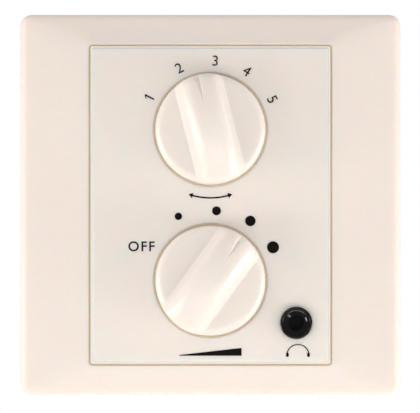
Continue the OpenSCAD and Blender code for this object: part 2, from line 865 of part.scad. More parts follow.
module switch_nut() {
    translate([0, 0, recess_z + washer_t]) difference() {
        intersection() {
            cylinder(r = nut_corner_r, h = nut_t, $fn = 6);
            cylinder(r1 = nut_corner_r + nut_t, r2 = nut_corner_r - nut_chamfer, h = nut_t);
        }
        translate([0, 0, -eps]) cylinder(r = bush_r + fit_clear, h = nut_t + 2 * eps);
    }
}

module selector_cover() {
    color("#b9bcc0") at_selector() switch_cover();
}

module selector_case() {
    color("#2b2a2a") at_selector() switch_case();
}

module selector_shaft() {
    color("#c9ccd0") at_selector() rotate([0, 0, -selector_angle]) switch_shaft();
}

module selector_rotor() {
    color("#d8c79a") at_selector() rotate([0, 0, 180 - selector_angle]) switch_rotor();
}

module selector_wiper() {
    color("#c8a24a") at_selector() rotate([0, 0, -selector_angle]) switch_wiper();
}

module selector_contacts() {
    color("#c9b27a") at_selector() switch_contacts();
}

module selector_detent_balls() {
    color("#b5b8bc") at_selector() rotate([0, 0, -selector_angle]) detent_balls();
}

module selector_detent_springs() {
    color("#9fa3a8") at_selector() rotate([0, 0, -selector_angle]) detent_springs();
}

module selector_washer() {
    color("#c4c7cb") at_selector() switch_washer();
}

module selector_nut() {
    color("#c4c7cb") at_selector() switch_nut();
}

module volume_cover() {
    color("#b9bcc0") at_volume() switch_cover();
}

module volume_case() {
    color("#2b2a2a") at_volume() switch_case();
}

module volume_shaft() {
    color("#c9ccd0") at_volume() rotate([0, 0, -volume_angle]) switch_shaft();
}

module volume_rotor() {
    color("#d8c79a") at_volume() rotate([0, 0, 180 - volume_angle]) switch_rotor();
}

module volume_wiper() {
    color("#c8a24a") at_volume() rotate([0, 0, -volume_angle]) switch_wiper();
}

module volume_contacts() {
    color("#c9b27a") at_volume() switch_contacts();
}

module volume_detent_balls() {
    color("#b5b8bc") at_volume() rotate([0, 0, -volume_angle]) detent_balls();
}

module volume_detent_springs() {
    color("#9fa3a8") at_volume() rotate([0, 0, -volume_angle]) detent_springs();
}

module volume_washer() {
    color("#c4c7cb") at_volume() switch_washer();
}

module volume_nut() {
    color("#c4c7cb") at_volume() switch_nut();
}

module at_jack() {
    upright() translate([jack_x, jack_z, 0]) children();
}

// Chamber beside the plug bore for one leaf contact, with a window for its nose.
module leaf_room(turn, nose) {
    w = leaf_w + 2 * leaf_side;
    rotate([0, 0, turn]) {
        translate([jack_bore_r + leaf_skin, -w / 2, board_front - eps])
            cube([leaf_chamber, w, nose + leaf_window - board_front + eps]);
        translate([0, -w / 2, nose - leaf_window])
            cube([jack_bore_r + leaf_skin + eps, w, 2 * leaf_window]);
    }
}

module jack_body() {
    color("#181615") at_jack() difference() {
        union() {
            translate([-jack_w / 2, -jack_h / 2, board_front])
                cube([jack_w, jack_h, jack_front - board_front]);
            translate([0, 0, jack_front - eps])
                cylinder(r = jack_bush_r, h = jack_bush_end - jack_front + eps);
        }
        translate([0, 0, jack_bore_end])
            cylinder(r = jack_bore_r, h = jack_bush_end - jack_bore_end + eps);
        translate([0, 0, jack_bush_end + dish_rise]) sphere(dish_r);
        leaf_room(sleeve_turn, sleeve_nose);
        leaf_room(ring_turn, ring_nose);
        leaf_room(tip_turn, tip_nose);
    }
}

module jack_collar() {
    outer = jack_collar_d / 2;
    inner = jack_bush_r + fit_clear;
    color("#100f0f") at_jack() translate([0, 0, panel_front]) rotate_extrude() {
        polygon([
            [inner, 0], [outer, 0], [outer, jack_proud - jack_round],
            [outer - jack_round, jack_proud], [inner, jack_proud]
        ]);
        translate([outer - jack_round, jack_proud - jack_round]) intersection() {
            circle(jack_round);
            square(jack_round);
        }
    }
}

// Leaf contact standing on the board beside the plug bore, its nose at the stated height.
module jack_leaf(nose) {
    back = leaf_off + leaf_t;
    tip = jack_bore_r + leaf_nose_clear;
    along_y(leaf_w) polygon([
        [leaf_off, board_front], [back, board_front], [back, nose - leaf_bend], [tip + leaf_t, nose],
        [back, nose + leaf_bend], [leaf_off, nose + leaf_bend], [tip, nose], [leaf_off, nose - leaf_bend]
    ]);
    translate([leaf_off, -leaf_tail_w / 2, board_back - leaf_tail_l])
        cube([leaf_t, leaf_tail_w, board_t + leaf_tail_l + eps]);
}

module jack_sleeve_contact() {
    color("#c9b27a") at_jack() rotate([0, 0, sleeve_turn]) jack_leaf(sleeve_nose);
}

module jack_ring_contact() {
    color("#c9b27a") at_jack() rotate([0, 0, ring_turn]) jack_leaf(ring_nose);
}

module jack_tip_contact() {
    color("#c9b27a") at_jack() rotate([0, 0, tip_turn]) jack_leaf(tip_nose);
}

// Holes for everything soldered into the board.
module board_holes() {
    for (x = [-1, 1], y = [-1, 1]) translate([x * post_x, y * post_z]) circle(screw_hole_r);
    for (side = [-1, 1]) translate([0, side * knob_pitch / 2]) {
        for (i = [0 : positions - 1]) rotate(contact_angle(i))
            translate([0, contact_ring_r]) circle(pin_r + hole_clear);
        rotate(180) translate([0, common_r]) circle(pin_r + hole_clear);
    }
    for (turn = [sleeve_turn, ring_turn, tip_turn]) translate([jack_x, jack_z]) rotate(turn)
        translate([leaf_off + leaf_t / 2, 0]) circle(leaf_hole_r);
    for (x = lead_x) translate([x, lead_y]) circle(tail_r + hole_clear);
    for (i = [0 : ways - 1]) translate([way_x(i), clamp_pin_y]) circle(pin_r + hole_clear);
    for (y = resistor_rows, side = [-1, 1]) translate([resistor_x + side * resistor_span / 2, y])
        circle(tail_r + hole_clear);
}

module circuit_board() {
    color("#3d7a52") upright() translate([0, 0, board_back]) linear_extrude(board_t) difference() {
        round_rect(board_w, board_h, 1);
        board_holes();
    }
}

// Pan-head screw through the board, its head towards the back.
module board_screw(seat) {
    difference() {
        union() {
            translate([0, 0, seat - screw_head_h])
                cylinder(r1 = screw_head_r - screw_head_draft, r2 = screw_head_r, h = screw_head_h);
            translate([0, 0, seat - eps])
                cylinder(r = screw_thread_r, h = board_front + screw_l - screw_room - seat + eps);
        }
        for (turn = [0, 90]) rotate([0, 0, turn]) translate([0, 0, seat - screw_head_h - eps])
            linear_extrude(recess_h + eps) square([recess_l, recess_t], center = true);
    }
}

module board_screws() {
    color("#c4c7cb") upright() for (x = [-1, 1], y = [-1, 1])
        translate([x * post_x, y * post_z, 0]) board_screw(y > 0 ? board_back : board_back - bracket_t);
}

module at_core() {
    upright() translate([0, core_z, core_mid]) children();
}

// Stack of laminations standing on the board, with a window on each side of the middle leg.
module transformer_core() {
    color("#4a4c50") at_core() along_y(stack_t) difference() {
        square([core_w, core_h], center = true);
        for (x = [-1, 1]) translate([x * 0.75 * leg_w, 0]) square([leg_w / 2, 1.5 * leg_w], center = true);
    }
}

module spool_tube(grow) {
    cube([leg_w + 2 * grow, stack_t + 2 * grow, spool_l], center = true);
}

module transformer_bobbin() {
    color("#26262a") at_core() difference() {
        union() {
            spool_tube(spool_clear + spool_wall);
            for (z = [-1, 1]) translate([0, 0, z * (spool_l - spool_flange) / 2])
                cube([spool_w, spool_d, spool_flange], center = true);
        }
        cube([leg_w + 2 * spool_clear, stack_t + 2 * spool_clear, spool_l + 2 * eps], center = true);
    }
}

module transformer_winding() {
    tube = spool_clear + spool_wall + fit_clear;
    long = spool_l - 2 * spool_flange - 2 * fit_clear;
    corner = 2.4;
    color("#d9b13a") at_core() linear_extrude(long, center = true) difference() {
        round_rect(spool_w - 2 * coil_inset, spool_d - 2 * coil_inset, corner);
        square([leg_w + 2 * tube, stack_t + 2 * tube], center = true);
    }
}

// Strap bent over the core, with a foot under each lower board screw.
module transformer_bracket() {
    inner = bracket_half - bracket_t;
    foot = board_back - bracket_t;
    top = core_mid - core_h / 2;
    crest = top - bracket_t;
    strap_w = stack_t - 1;
    color("#aeb2b6") upright() difference() {
        translate([0, core_z, 0]) along_y(strap_w) polygon([
            [-foot_end, board_back], [-foot_end, foot], [-bracket_half, foot], [-bracket_half, crest],
            [bracket_half, crest], [bracket_half, foot], [foot_end, foot], [foot_end, board_back],
            [inner, board_back], [inner, top], [-inner, top], [-inner, board_back]
        ]);
        for (x = [-1, 1]) translate([x * post_x, core_z, foot - eps])
            cylinder(r = screw_hole_r, h = bracket_t + 2 * eps);
    }
}

// Insulated leads from the winding to the board.
module transformer_leads() {
    from = core_z + spool_d / 2 - coil_inset;
    strip = board_back - lead_bare;
    color("#b33a2e") upright() for (x = lead_x) {
        translate([x, from, lead_z]) rotate([-90, 0, 0]) cylinder(r = lead_r, h = lead_y - from);
        translate([x, lead_y, lead_z]) sphere(lead_r);
        translate([x, lead_y, lead_z]) cylinder(r = lead_r, h = strip - lead_z);
        translate([x, lead_y, strip - eps])
            cylinder(r = tail_r, h = board_front + tail_reach - strip + eps);
    }
}

// Place of each way along the terminal block.
function way_x(i) = (i - (ways - 1) / 2) * way_pitch;

module terminal_block() {
    low = block_top - block_d;
    color("#3f8f5d") upright() difference() {
        translate([-block_w / 2, 0, 0]) rotate([90, 0, 90]) linear_extrude(block_w) polygon([
            [low, board_back], [block_top, board_back], [block_top, block_back + block_lip],
            [block_top - block_lip, block_back], [low + 2 * block_lip, block_back],
            [low, block_back + 3 * block_lip]
        ]);
        for (i = [0 : ways - 1]) translate([way_x(i), 0, 0]) {
            translate([-entry_w / 2, block_top - entry_l, entry_floor - entry_h])
                cube([entry_w, entry_l + eps, entry_h]);
            translate([0, clamp_screw_y, block_back - eps])
                cylinder(r = screw_well_r, h = block_h - block_floor);
            translate([0, clamp_pin_y, board_back - clamp_pin_room])
                cylinder(r = pin_r + fit_clear, h = clamp_pin_room + eps);
        }
    }
}

// Clamp cages: a square tube for the wire, with a tapped top and a board pin.
module terminal_clamps() {
    l = clamp_to - clamp_from;
    color("#c9b27a") upright() for (i = [0 : ways - 1]) translate([way_x(i), 0, 0]) {
        difference() {
            translate([-clamp_w / 2, clamp_from, entry_floor - clamp_h]) cube([clamp_w, l, clamp_h]);
            translate([-clamp_w / 2 + clamp_t, clamp_from - eps, entry_floor - clamp_h + clamp_t])
                cube([clamp_w - 2 * clamp_t, l + 2 * eps, clamp_h - 2 * clamp_t]);
            translate([0, clamp_screw_y, entry_floor - clamp_h - eps])
                cylinder(r = clamp_thread_r + fit_clear, h = clamp_t + 2 * eps);
        }
        translate([0, clamp_pin_y, entry_floor - eps])
            cylinder(r = pin_r, h = board_front + tail_reach - entry_floor + eps);
    }
}

module terminal_screws() {
    under = entry_floor - clamp_h - clamp_screw_out;
    top = under - clamp_head_h;
    color("#c4c7cb") upright() for (i = [0 : ways - 1]) translate([way_x(i), clamp_screw_y, 0])
        difference() {
            union() {
                translate([0, 0, top]) cylinder(r = clamp_head_r, h = clamp_head_h);
                translate([0, 0, under - eps]) cylinder(r = clamp_thread_r, h = clamp_screw_l + eps);
            }
            translate([0, 0, top - eps]) linear_extrude(clamp_slot_h + eps)
                square([2 * clamp_head_r + over, clamp_slot_w], center = true);
        }
}

// Axial resistors lying on the board, their leads bent into it.
module headphone_resistors() {
    color("#9db7c9") upright() for (y = resistor_rows) translate([resistor_x, y, resistor_z]) {
        rotate([0, 90, 0])
            cylinder(r = resistor_r - resistor_waist, h = resistor_l - resistor_cap, center = true);
        for (side = [-1, 1]) translate([side * (resistor_l - resistor_cap) / 2, 0, 0])
            rotate([0, 90, 0]) cylinder(r = resistor_r, h = resistor_cap, center = true);
        rotate([0, 90, 0]) cylinder(r = tail_r, h = resistor_span, center = true);
        for (side = [-1, 1]) translate([side * resistor_span / 2, 0, 0]) {
            sphere(tail_r);
            cylinder(r = tail_r, h = board_front + tail_reach - resistor_z);
        }
    }
}

bezel_frame();
front_panel();
mounting_plate();
selector_knob();
selector_cover();
selector_case();
selector_shaft();
selector_rotor();
selector_wiper();
selector_contacts();
selector_detent_balls();
selector_detent_springs();
selector_washer();
selector_nut();
volume_knob();
volume_cover();
volume_case();
volume_shaft();
volume_rotor();
volume_wiper();
volume_contacts();
volume_detent_balls();
volume_detent_springs();
volume_washer();
volume_nut();
jack_body();
jack_collar();
jack_sleeve_contact();
jack_ring_contact();
jack_tip_contact();
circuit_board();
board_posts();
board_screws();
transformer_core();
transformer_bobbin();
transformer_winding();
transformer_bracket();
transformer_leads();
terminal_block();
terminal_clamps();
terminal_screws();
headphone_resistors();
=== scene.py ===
"""Looks of a flush wall control for a line-fed loudspeaker.

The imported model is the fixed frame: metres, the front towards -Y, +Z up, the wall surface at Y = 0.
New pieces are modelled lying on their back in millimetres, x to the right, y up and z towards the
viewer, and are stood upright in metres when they are done.
"""

import json
import logging
import math
from collections.abc import Callable, Sequence
from dataclasses import dataclass
from enum import Enum

import bmesh
import bpy
from mathutils import Matrix, Vector

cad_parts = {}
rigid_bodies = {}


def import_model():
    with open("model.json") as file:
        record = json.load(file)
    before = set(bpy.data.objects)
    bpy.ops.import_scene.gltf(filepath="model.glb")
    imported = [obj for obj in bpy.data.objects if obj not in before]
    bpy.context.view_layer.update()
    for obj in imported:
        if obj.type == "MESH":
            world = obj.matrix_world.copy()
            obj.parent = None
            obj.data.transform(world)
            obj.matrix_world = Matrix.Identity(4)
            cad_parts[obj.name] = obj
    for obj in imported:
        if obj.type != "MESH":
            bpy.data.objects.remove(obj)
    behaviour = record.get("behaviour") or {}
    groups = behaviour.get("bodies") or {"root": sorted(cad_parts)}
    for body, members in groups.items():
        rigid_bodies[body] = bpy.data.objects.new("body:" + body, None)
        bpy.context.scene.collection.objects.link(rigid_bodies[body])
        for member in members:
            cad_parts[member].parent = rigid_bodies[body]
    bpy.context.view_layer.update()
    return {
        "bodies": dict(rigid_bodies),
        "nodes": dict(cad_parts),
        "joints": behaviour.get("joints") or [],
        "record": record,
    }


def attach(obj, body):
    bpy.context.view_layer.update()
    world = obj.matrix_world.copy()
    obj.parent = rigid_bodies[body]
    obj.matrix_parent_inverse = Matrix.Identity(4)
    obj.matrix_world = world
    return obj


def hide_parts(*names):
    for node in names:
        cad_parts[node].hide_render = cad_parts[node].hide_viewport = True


LOG = logging.getLogger("wall_control")
MM = 0.001
UPRIGHT = Matrix.Rotation(math.pi / 2, 4, "X") @ Matrix.Scale(MM, 4)
BASE_BODY = "base"

Point2 = tuple[float, float]
Point3 = tuple[float, float, float]
Colour = tuple[int, int, int]

# Sizes that several pieces share, in millimetres
WINDOW_HALF: Point2 = (27.25, 36.0)
WINDOW_R = 0.7
PANEL_FRONT = 9.8
SOCKET_SPOT: Point2 = (19.3, -26.5)

# Angle of straight down, in degrees clockwise from the top
DOWN_DEG = 180.0

# Chords in a corner too small to be seen round, and the turn that stays crisp on thin strips
SMALL_CORNER_STEPS = 3
STRIP_CRISP_DEG = 40.0


def linear(colour: Colour, gain: float = 1.0) -> tuple[float, float, float, float]:
    """Turns an 8-bit display colour into the linear one that a shader socket takes.

    Args:
        colour: Red, green and blue from 0 to 255, as seen on a display.
        gain: Factor on the result.

    Returns:
        Linear red, green, blue and an alpha of 1.
    """
    parts = [c / 255 for c in colour]
    bright = [c / 12.92 if c <= 0.04045 else ((c + 0.055) / 1.055) ** 2.4 for c in parts]
    return (*(min(1.0, gain * c) for c in bright), 1.0)


class Axis(Enum):
    """World axis that a surface pattern runs along."""

    X = 0
    Y = 1
    Z = 2


class Switch(Enum):
    """One of the two rotary switches, with the height of its axis above the plate's middle."""

    SELECTOR = 17.0
    VOLUME = -17.0

    @property
    def role(self) -> str:
        """Gives the word that the names of this switch's pieces start with."""
        return self.name.lower()


class Slot(Enum):
    """Material slot of the record that a modelled piece belongs to."""

    BEZEL = "bezel_ivory"
    PANEL = "panel_ivory"
    KNOB = "knob_ivory"
    CARRIER = "carrier_grey"
    SOCKET = "jack_black"
    PLATED = "plated_steel"
    BOARD = "board_green"


class ShaderSheet:
    """Lays out the nodes of one material on object coordinates."""

    WAVE_UNIT = 20.0
    WAVER_SCALE = 0.4
    NOISE_RANGE = (0.3, 0.7)
    COLOUR_INPUTS = (6, 7)
    COLOUR_OUTPUT = 2
    EDGE_SAMPLES = 4
    FLAT_FACING = 0.98
    EDGE_FACING = 0.80

    def __init__(self, name: str) -> None:
        """Starts an empty material with its surface shader and its coordinates.

        Args:
            name: Name of the material.
        """
        self.material = bpy.data.materials.new(name)
        self.material.use_nodes = True
        self.tree = self.material.node_tree
        self.shader = self.tree.nodes["Principled BSDF"]
        self.coords = self.tree.nodes.new("ShaderNodeTexCoord").outputs["Object"]

    def node(self, kind: str, **settings: object) -> bpy.types.ShaderNode:
        """Adds a node and sets its properties.

        Args:
            kind: Type name of the node.
            settings: Properties of the node, by name.

        Returns:
            The new node.
        """
        node = self.tree.nodes.new(kind)
        for key, value in settings.items():
            setattr(node, key, value)
        return node

    def link(self, source: bpy.types.NodeSocket, target: bpy.types.NodeSocket) -> None:
        """Joins an output to an input."""
        self.tree.links.new(source, target)

    def stretched(self, stretch: Point3) -> bpy.types.NodeSocket:
        """Gives the coordinates scaled by a factor along each axis.

        Args:
            stretch: Factor along each axis.

        Returns:
            The scaled coordinates.
        """
        mapping = self.node("ShaderNodeMapping")
        mapping.inputs["Scale"].default_value = stretch
        self.link(self.coords, mapping.inputs["Vector"])
        return mapping.outputs["Vector"]

    def noise(
        self,
        size_mm: float,
        detail: float = 2.0,
        rough: float = 0.5,
        stretch: Point3 = (1.0, 1.0, 1.0),
    ) -> bpy.types.NodeSocket:
        """Adds cloudy noise with patches of about one size.

        Args:
            size_mm: Size of a patch, in millimetres.
            detail: How many finer layers it holds.
            rough: Share of each finer layer.
            stretch: Factor on the coordinates along each axis.

        Returns:
            The noise's grey value, about 0 to 1.
        """
        noise = self.node("ShaderNodeTexNoise")
        noise.inputs["Scale"].default_value = 1 / (size_mm * MM)
        noise.inputs["Detail"].default_value = detail
        noise.inputs["Roughness"].default_value = rough
        self.link(self.stretched(stretch), noise.inputs["Vector"])
        return noise.outputs["Fac"]

    def bands(self, pitch_mm: float, axis: Axis, waver: float = 0.0) -> bpy.types.NodeSocket:
        """Adds even bands along an axis.

        Args:
            pitch_mm: Distance from one band to the next.
            axis: World axis that the bands follow each other along.
            waver: How much the bands wander.

        Returns:
            The bands' grey value, 0 to 1.
        """
        wave = self.node("ShaderNodeTexWave", bands_direction=axis.name)
        wave.inputs["Scale"].default_value = 2 * math.pi / (self.WAVE_UNIT * pitch_mm * MM)
        wave.inputs["Distortion"].default_value = waver
        wave.inputs["Detail Scale"].default_value = self.WAVER_SCALE
        self.link(self.coords, wave.inputs["Vector"])
        return wave.outputs["Fac"]

    def spread(self, grey: bpy.types.NodeSocket, low: float, high: float) -> bpy.types.NodeSocket:
        """Maps a grey value, which noise keeps near the middle, onto a range.

        Args:
            grey: The grey value.
            low: Result at its dark end.
            high: Result at its light end.

        Returns:
            The mapped value.
        """
        spread = self.node("ShaderNodeMapRange")
        spread.inputs["From Min"].default_value = self.NOISE_RANGE[0]
        spread.inputs["From Max"].default_value = self.NOISE_RANGE[1]
        spread.inputs["To Min"].default_value = low
        spread.inputs["To Max"].default_value = high
        self.link(grey, spread.inputs["Value"])
        return spread.outputs["Result"]

    def blend(
        self,
        factor: bpy.types.NodeSocket,
        first: tuple[float, ...] | bpy.types.NodeSocket,
        second: tuple[float, ...] | bpy.types.NodeSocket,
    ) -> bpy.types.NodeSocket:
        """Mixes two colours, each a value or another node's output.

        Args:
            factor: Share of the second colour.
            first: Colour where the share is 0.
            second: Colour where the share is 1.

        Returns:
            The mixed colour.
        """
        mix = self.node("ShaderNodeMix", data_type="RGBA")
        self.link(factor, mix.inputs["Factor"])
        for index, value in zip(self.COLOUR_INPUTS, (first, second)):
            socket = mix.inputs[index]
            if isinstance(value, bpy.types.NodeSocket):
                self.link(value, socket)
            else:
                socket.default_value = value
        return mix.outputs[self.COLOUR_OUTPUT]

    def steps(
        self, axis: Axis, from_mm: float, to_mm: float, colours: Sequence[tuple[float, Colour]]
    ) -> bpy.types.NodeSocket:
        """Paints bands of plain colour by place along a world axis.

        Args:
            axis: World axis that the bands follow each other along.
            from_mm: Where the first band starts.
            to_mm: Where the last band ends.
            colours: Start of each band from 0 to 1, with its colour.

        Returns:
            The colour at each place.
        """
        split = self.node("ShaderNodeSeparateXYZ")
        self.link(self.coords, split.inputs["Vector"])
        span = self.node("ShaderNodeMapRange")
        span.inputs["From Min"].default_value = from_mm * MM
        span.inputs["From Max"].default_value = to_mm * MM
        self.link(split.outputs[axis.value], span.inputs["Value"])
        ramp = self.node("ShaderNodeValToRGB")
        ramp.color_ramp.interpolation = "CONSTANT"
        marks = ramp.color_ramp.elements
        while len(marks) < len(colours):
            marks.new(1.0)
        for mark, (start, colour) in zip(marks, colours):
            mark.position = start
            mark.color = linear(colour)
        self.link(span.outputs["Result"], ramp.inputs["Fac"])
        return ramp.outputs["Color"]

    def edge_mask(self, width_mm: float) -> bpy.types.NodeSocket:
        """Gives a value that rises towards 1 along edges and corners.

        Args:
            width_mm: How far in from an edge it shows.

        Returns:
            The value at each place.
        """
        soft = self.node("ShaderNodeBevel", samples=self.EDGE_SAMPLES)
        soft.inputs["Radius"].default_value = width_mm * MM
        plain = self.node("ShaderNodeNewGeometry")
        facing = self.node("ShaderNodeVectorMath", operation="DOT_PRODUCT")
        self.link(soft.outputs["Normal"], facing.inputs[0])
        self.link(plain.outputs["Normal"], facing.inputs[1])
        edge = self.node("ShaderNodeMapRange")
        edge.inputs["From Min"].default_value = self.FLAT_FACING
        edge.inputs["From Max"].default_value = self.EDGE_FACING
        self.link(facing.outputs["Value"], edge.inputs["Value"])
        return edge.outputs["Result"]

    def bump(self, height: bpy.types.NodeSocket, depth_mm: float) -> None:
        """Raises the surface by a grey value, over any bump that is already there.

        Args:
            height: The grey value.
            depth_mm: How high a value of 1 stands.
        """
        bump = self.node("ShaderNodeBump")
        bump.inputs["Distance"].default_value = depth_mm * MM
        bump.inputs["Strength"].default_value = 1.0
        self.link(height, bump.inputs["Height"])
        held = self.shader.inputs["Normal"]
        if held.is_linked:
            self.link(held.links[0].from_socket, bump.inputs["Normal"])
        self.link(bump.outputs["Normal"], held)


@dataclass(frozen=True)
class Finish:
    """A surface finish that pieces share."""

    name: str
    colour: Colour
    roughness: float

    def material(self) -> bpy.types.Material:
        """Gives this finish's material, made once.

        Returns:
            The material.
        """
        known = bpy.data.materials.get(self.name)
        if known is not None:
            return known
        sheet = ShaderSheet(self.name)
        self.lay_out(sheet)
        return sheet.material

    def lay_out(self, sheet: ShaderSheet) -> None:
        """Adds the finish's own nodes; each kind of finish says how."""
        raise NotImplementedError

    def wear_roughness(self, sheet: ShaderSheet, size_mm: float, swing: float) -> None:
        """Varies the roughness in patches, by a swing to both sides.

        Args:
            sheet: The material's nodes.
            size_mm: Size of a patch.
            swing: How far the roughness goes to each side.
        """
        patches = sheet.noise(size_mm, detail=4.0)
        low, high = self.roughness - swing, self.roughness + swing
        sheet.link(sheet.spread(patches, low, high), sheet.shader.inputs["Roughness"])


@dataclass(frozen=True)
class Moulded(Finish):
    """Moulded plastic: fine spark texture, slow tone changes, edges rubbed lighter."""

    grain_mm: float = 0.12
    grain_depth_mm: float = 0.004
    mottle: float = 0.02
    edge_gain: float = 1.0
    glow: float = 0.0
    glow_mm: float = 2.0
    shine: float = 0.5
    wear: float = 0.04
    tone_mm: float = 22.0
    edge_mm: float = 0.25
    wear_mm: float = 6.0
    ior: float = 1.5
    glow_reach: Point3 = (1.0, 0.6, 0.35)

    def lay_out(self, sheet: ShaderSheet) -> None:
        """Adds tone, rubbed edges, roughness patches and the spark texture.

        Args:
            sheet: The material's nodes.
        """
        tone = sheet.blend(
            sheet.spread(sheet.noise(self.tone_mm, detail=3.0), 0.0, 1.0),
            linear(self.colour, 1 - self.mottle),
            linear(self.colour, 1 + self.mottle),
        )
        if self.edge_gain > 1:
            rubbed = linear(self.colour, self.edge_gain)
            tone = sheet.blend(sheet.edge_mask(self.edge_mm), tone, rubbed)
        sheet.link(tone, sheet.shader.inputs["Base Color"])
        self.wear_roughness(sheet, self.wear_mm, self.wear)
        sheet.bump(sheet.noise(self.grain_mm, detail=1.0), self.grain_depth_mm)
        sheet.shader.inputs["IOR"].default_value = self.ior
        sheet.shader.inputs["Specular IOR Level"].default_value = self.shine
        if self.glow > 0:
            sheet.shader.inputs["Subsurface Weight"].default_value = self.glow
            sheet.shader.inputs["Subsurface Radius"].default_value = self.glow_reach
            sheet.shader.inputs["Subsurface Scale"].default_value = self.glow_mm * MM


@dataclass(frozen=True)
class Metal(Finish):
    """Bare or plated metal with marks along one axis and brighter edges."""

    axis: Axis = Axis.X
    stretch: float = 14.0
    line_mm: float = 0.5
    depth_mm: float = 0.006
    dull_mm: float = 3.0
    dull_gains: Point2 = (0.82, 1.02)
    edge_mm: float = 0.15
    edge_gain: float = 1.15
    wear_mm: float = 1.5
    wear: float = 0.08

    def lay_out(self, sheet: ShaderSheet) -> None:
        """Adds drawn marks, dull patches and bright edges.

        Args:
            sheet: The material's nodes.
        """
        along = [self.stretch, self.stretch, self.stretch]
        along[self.axis.value] = 1.0
        lines = sheet.noise(self.line_mm * self.stretch, detail=3.0, rough=0.6, stretch=tuple(along))
        dull = sheet.blend(
            sheet.spread(sheet.noise(self.dull_mm, detail=5.0), 0.0, 1.0),
            linear(self.colour, self.dull_gains[0]),
            linear(self.colour, self.dull_gains[1]),
        )
        bright = sheet.blend(sheet.edge_mask(self.edge_mm), dull, linear(self.colour, self.edge_gain))
        sheet.link(bright, sheet.shader.inputs["Base Color"])
        sheet.shader.inputs["Metallic"].default_value = 1.0
        self.wear_roughness(sheet, self.wear_mm, self.wear)
        sheet.bump(lines, self.depth_mm)


@dataclass(frozen=True)
class Laminated(Finish):
    """Varnished edges of stacked iron sheets."""

    sheet_mm: float = 0.5
    waver: float = 0.6
    line_gains: Point2 = (0.45, 1.25)
    line_depth_mm: float = 0.06
    rust: Colour = (92, 66, 48)
    rust_mm: float = 4.0
    rust_share: Point2 = (-0.2, 0.45)
    metallic: float = 0.55
    wear_mm: float = 2.0
    wear: float = 0.1

    def lay_out(self, sheet: ShaderSheet) -> None:
        """Adds sheet lines, varnish patches and rust tone.

        Args:
            sheet: The material's nodes.
        """
        lines = sheet.bands(self.sheet_mm, Axis.Z, self.waver)
        dark, light = (linear(self.colour, gain) for gain in self.line_gains)
        tone = sheet.blend(lines, dark, light)
        patches = sheet.spread(sheet.noise(self.rust_mm, detail=6.0), *self.rust_share)
        rust = sheet.blend(patches, tone, linear(self.rust))
        sheet.link(rust, sheet.shader.inputs["Base Color"])
        sheet.shader.inputs["Metallic"].default_value = self.metallic
        self.wear_roughness(sheet, self.wear_mm, self.wear)
        sheet.bump(lines, self.line_depth_mm)


@dataclass(frozen=True)
class Taped(Finish):
    """Polyester tape wound in overlapping turns."""

    turn_mm: float = 3.2
    waver: float = 0.4
    turn_gains: Point2 = (0.8, 1.05)
    turn_depth_mm: float = 0.05
    air: Colour = (238, 206, 120)
    air_mm: float = 1.6
    air_share: Point2 = (-0.5, 0.5)
    pucker_mm: float = 1.2
    pucker_depth_mm: float = 0.03
    coat: float = 0.4
    coat_roughness: float = 0.15
    wear_mm: float = 2.5
    wear: float = 0.08

    def lay_out(self, sheet: ShaderSheet) -> None:
        """Adds overlap lines, trapped air and a soft gloss.

        Args:
            sheet: The material's nodes.
        """
        turns = sheet.bands(self.turn_mm, Axis.Y, self.waver)
        under, over = (linear(self.colour, gain) for gain in self.turn_gains)
        tone = sheet.blend(turns, under, over)
        bubbles = sheet.spread(sheet.noise(self.air_mm, detail=4.0), *self.air_share)
        air = sheet.blend(bubbles, tone, linear(self.air))
        sheet.link(air, sheet.shader.inputs["Base Color"])
        self.wear_roughness(sheet, self.wear_mm, self.wear)
        sheet.shader.inputs["Coat Weight"].default_value = self.coat
        sheet.shader.inputs["Coat Roughness"].default_value = self.coat_roughness
        sheet.bump(turns, self.turn_depth_mm)
        sheet.bump(sheet.noise(self.pucker_mm, detail=3.0), self.pucker_depth_mm)


@dataclass(frozen=True)
class SolderMask(Finish):
    """Lacquered glass-fibre board with its weave faintly showing."""

    weave_mm: float = 0.55
    waver: float = 0.3
    weave_gains: Point2 = (0.86, 1.08)
    weave_depth_mm: float = 0.01
    down_share: Point2 = (0.2, 0.6)
    cloud_mm: float = 12.0
    cloud_gain: float = 0.7
    cloud_share: Point2 = (0.0, 0.35)
    wear_mm: float = 5.0
    wear: float = 0.06

    def lay_out(self, sheet: ShaderSheet) -> None:
        """Adds the weave and the lacquer's tone.

        Args:
            sheet: The material's nodes.
        """
        across = sheet.bands(self.weave_mm, Axis.X, self.waver)
        down = sheet.bands(self.weave_mm, Axis.Z, self.waver)
        dark, light = (linear(self.colour, gain) for gain in self.weave_gains)
        weave = sheet.blend(across, dark, light)
        tone = sheet.blend(sheet.spread(down, *self.down_share), weave, linear(self.colour))
        patches = sheet.spread(sheet.noise(self.cloud_mm), *self.cloud_share)
        cloud = sheet.blend(patches, tone, linear(self.colour, self.cloud_gain))
        sheet.link(cloud, sheet.shader.inputs["Base Color"])
        self.wear_roughness(sheet, self.wear_mm, self.wear)
        sheet.bump(across, self.weave_depth_mm)
        sheet.bump(down, self.weave_depth_mm)


@dataclass(frozen=True)
class Ink(Finish):
    """Printed ink: dense, a little uneven, faintly raised."""

    patch_mm: float = 0.5
    patch_gains: Point2 = (0.8, 1.4)
    patch_depth_mm: float = 0.006
    shine: float = 0.2
    wear_mm: float = 1.0
    wear: float = 0.08

    def lay_out(self, sheet: ShaderSheet) -> None:
        """Adds uneven density and a fine pad-print texture.

        Args:
            sheet: The material's nodes.
        """
        density = sheet.noise(self.patch_mm, detail=5.0)
        dense, thin = (linear(self.colour, gain) for gain in self.patch_gains)
        tone = sheet.blend(sheet.spread(density, 0.0, 1.0), dense, thin)
        sheet.link(tone, sheet.shader.inputs["Base Color"])
        self.wear_roughness(sheet, self.wear_mm, self.wear)
        sheet.shader.inputs["Specular IOR Level"].default_value = self.shine
        sheet.bump(density, self.patch_depth_mm)


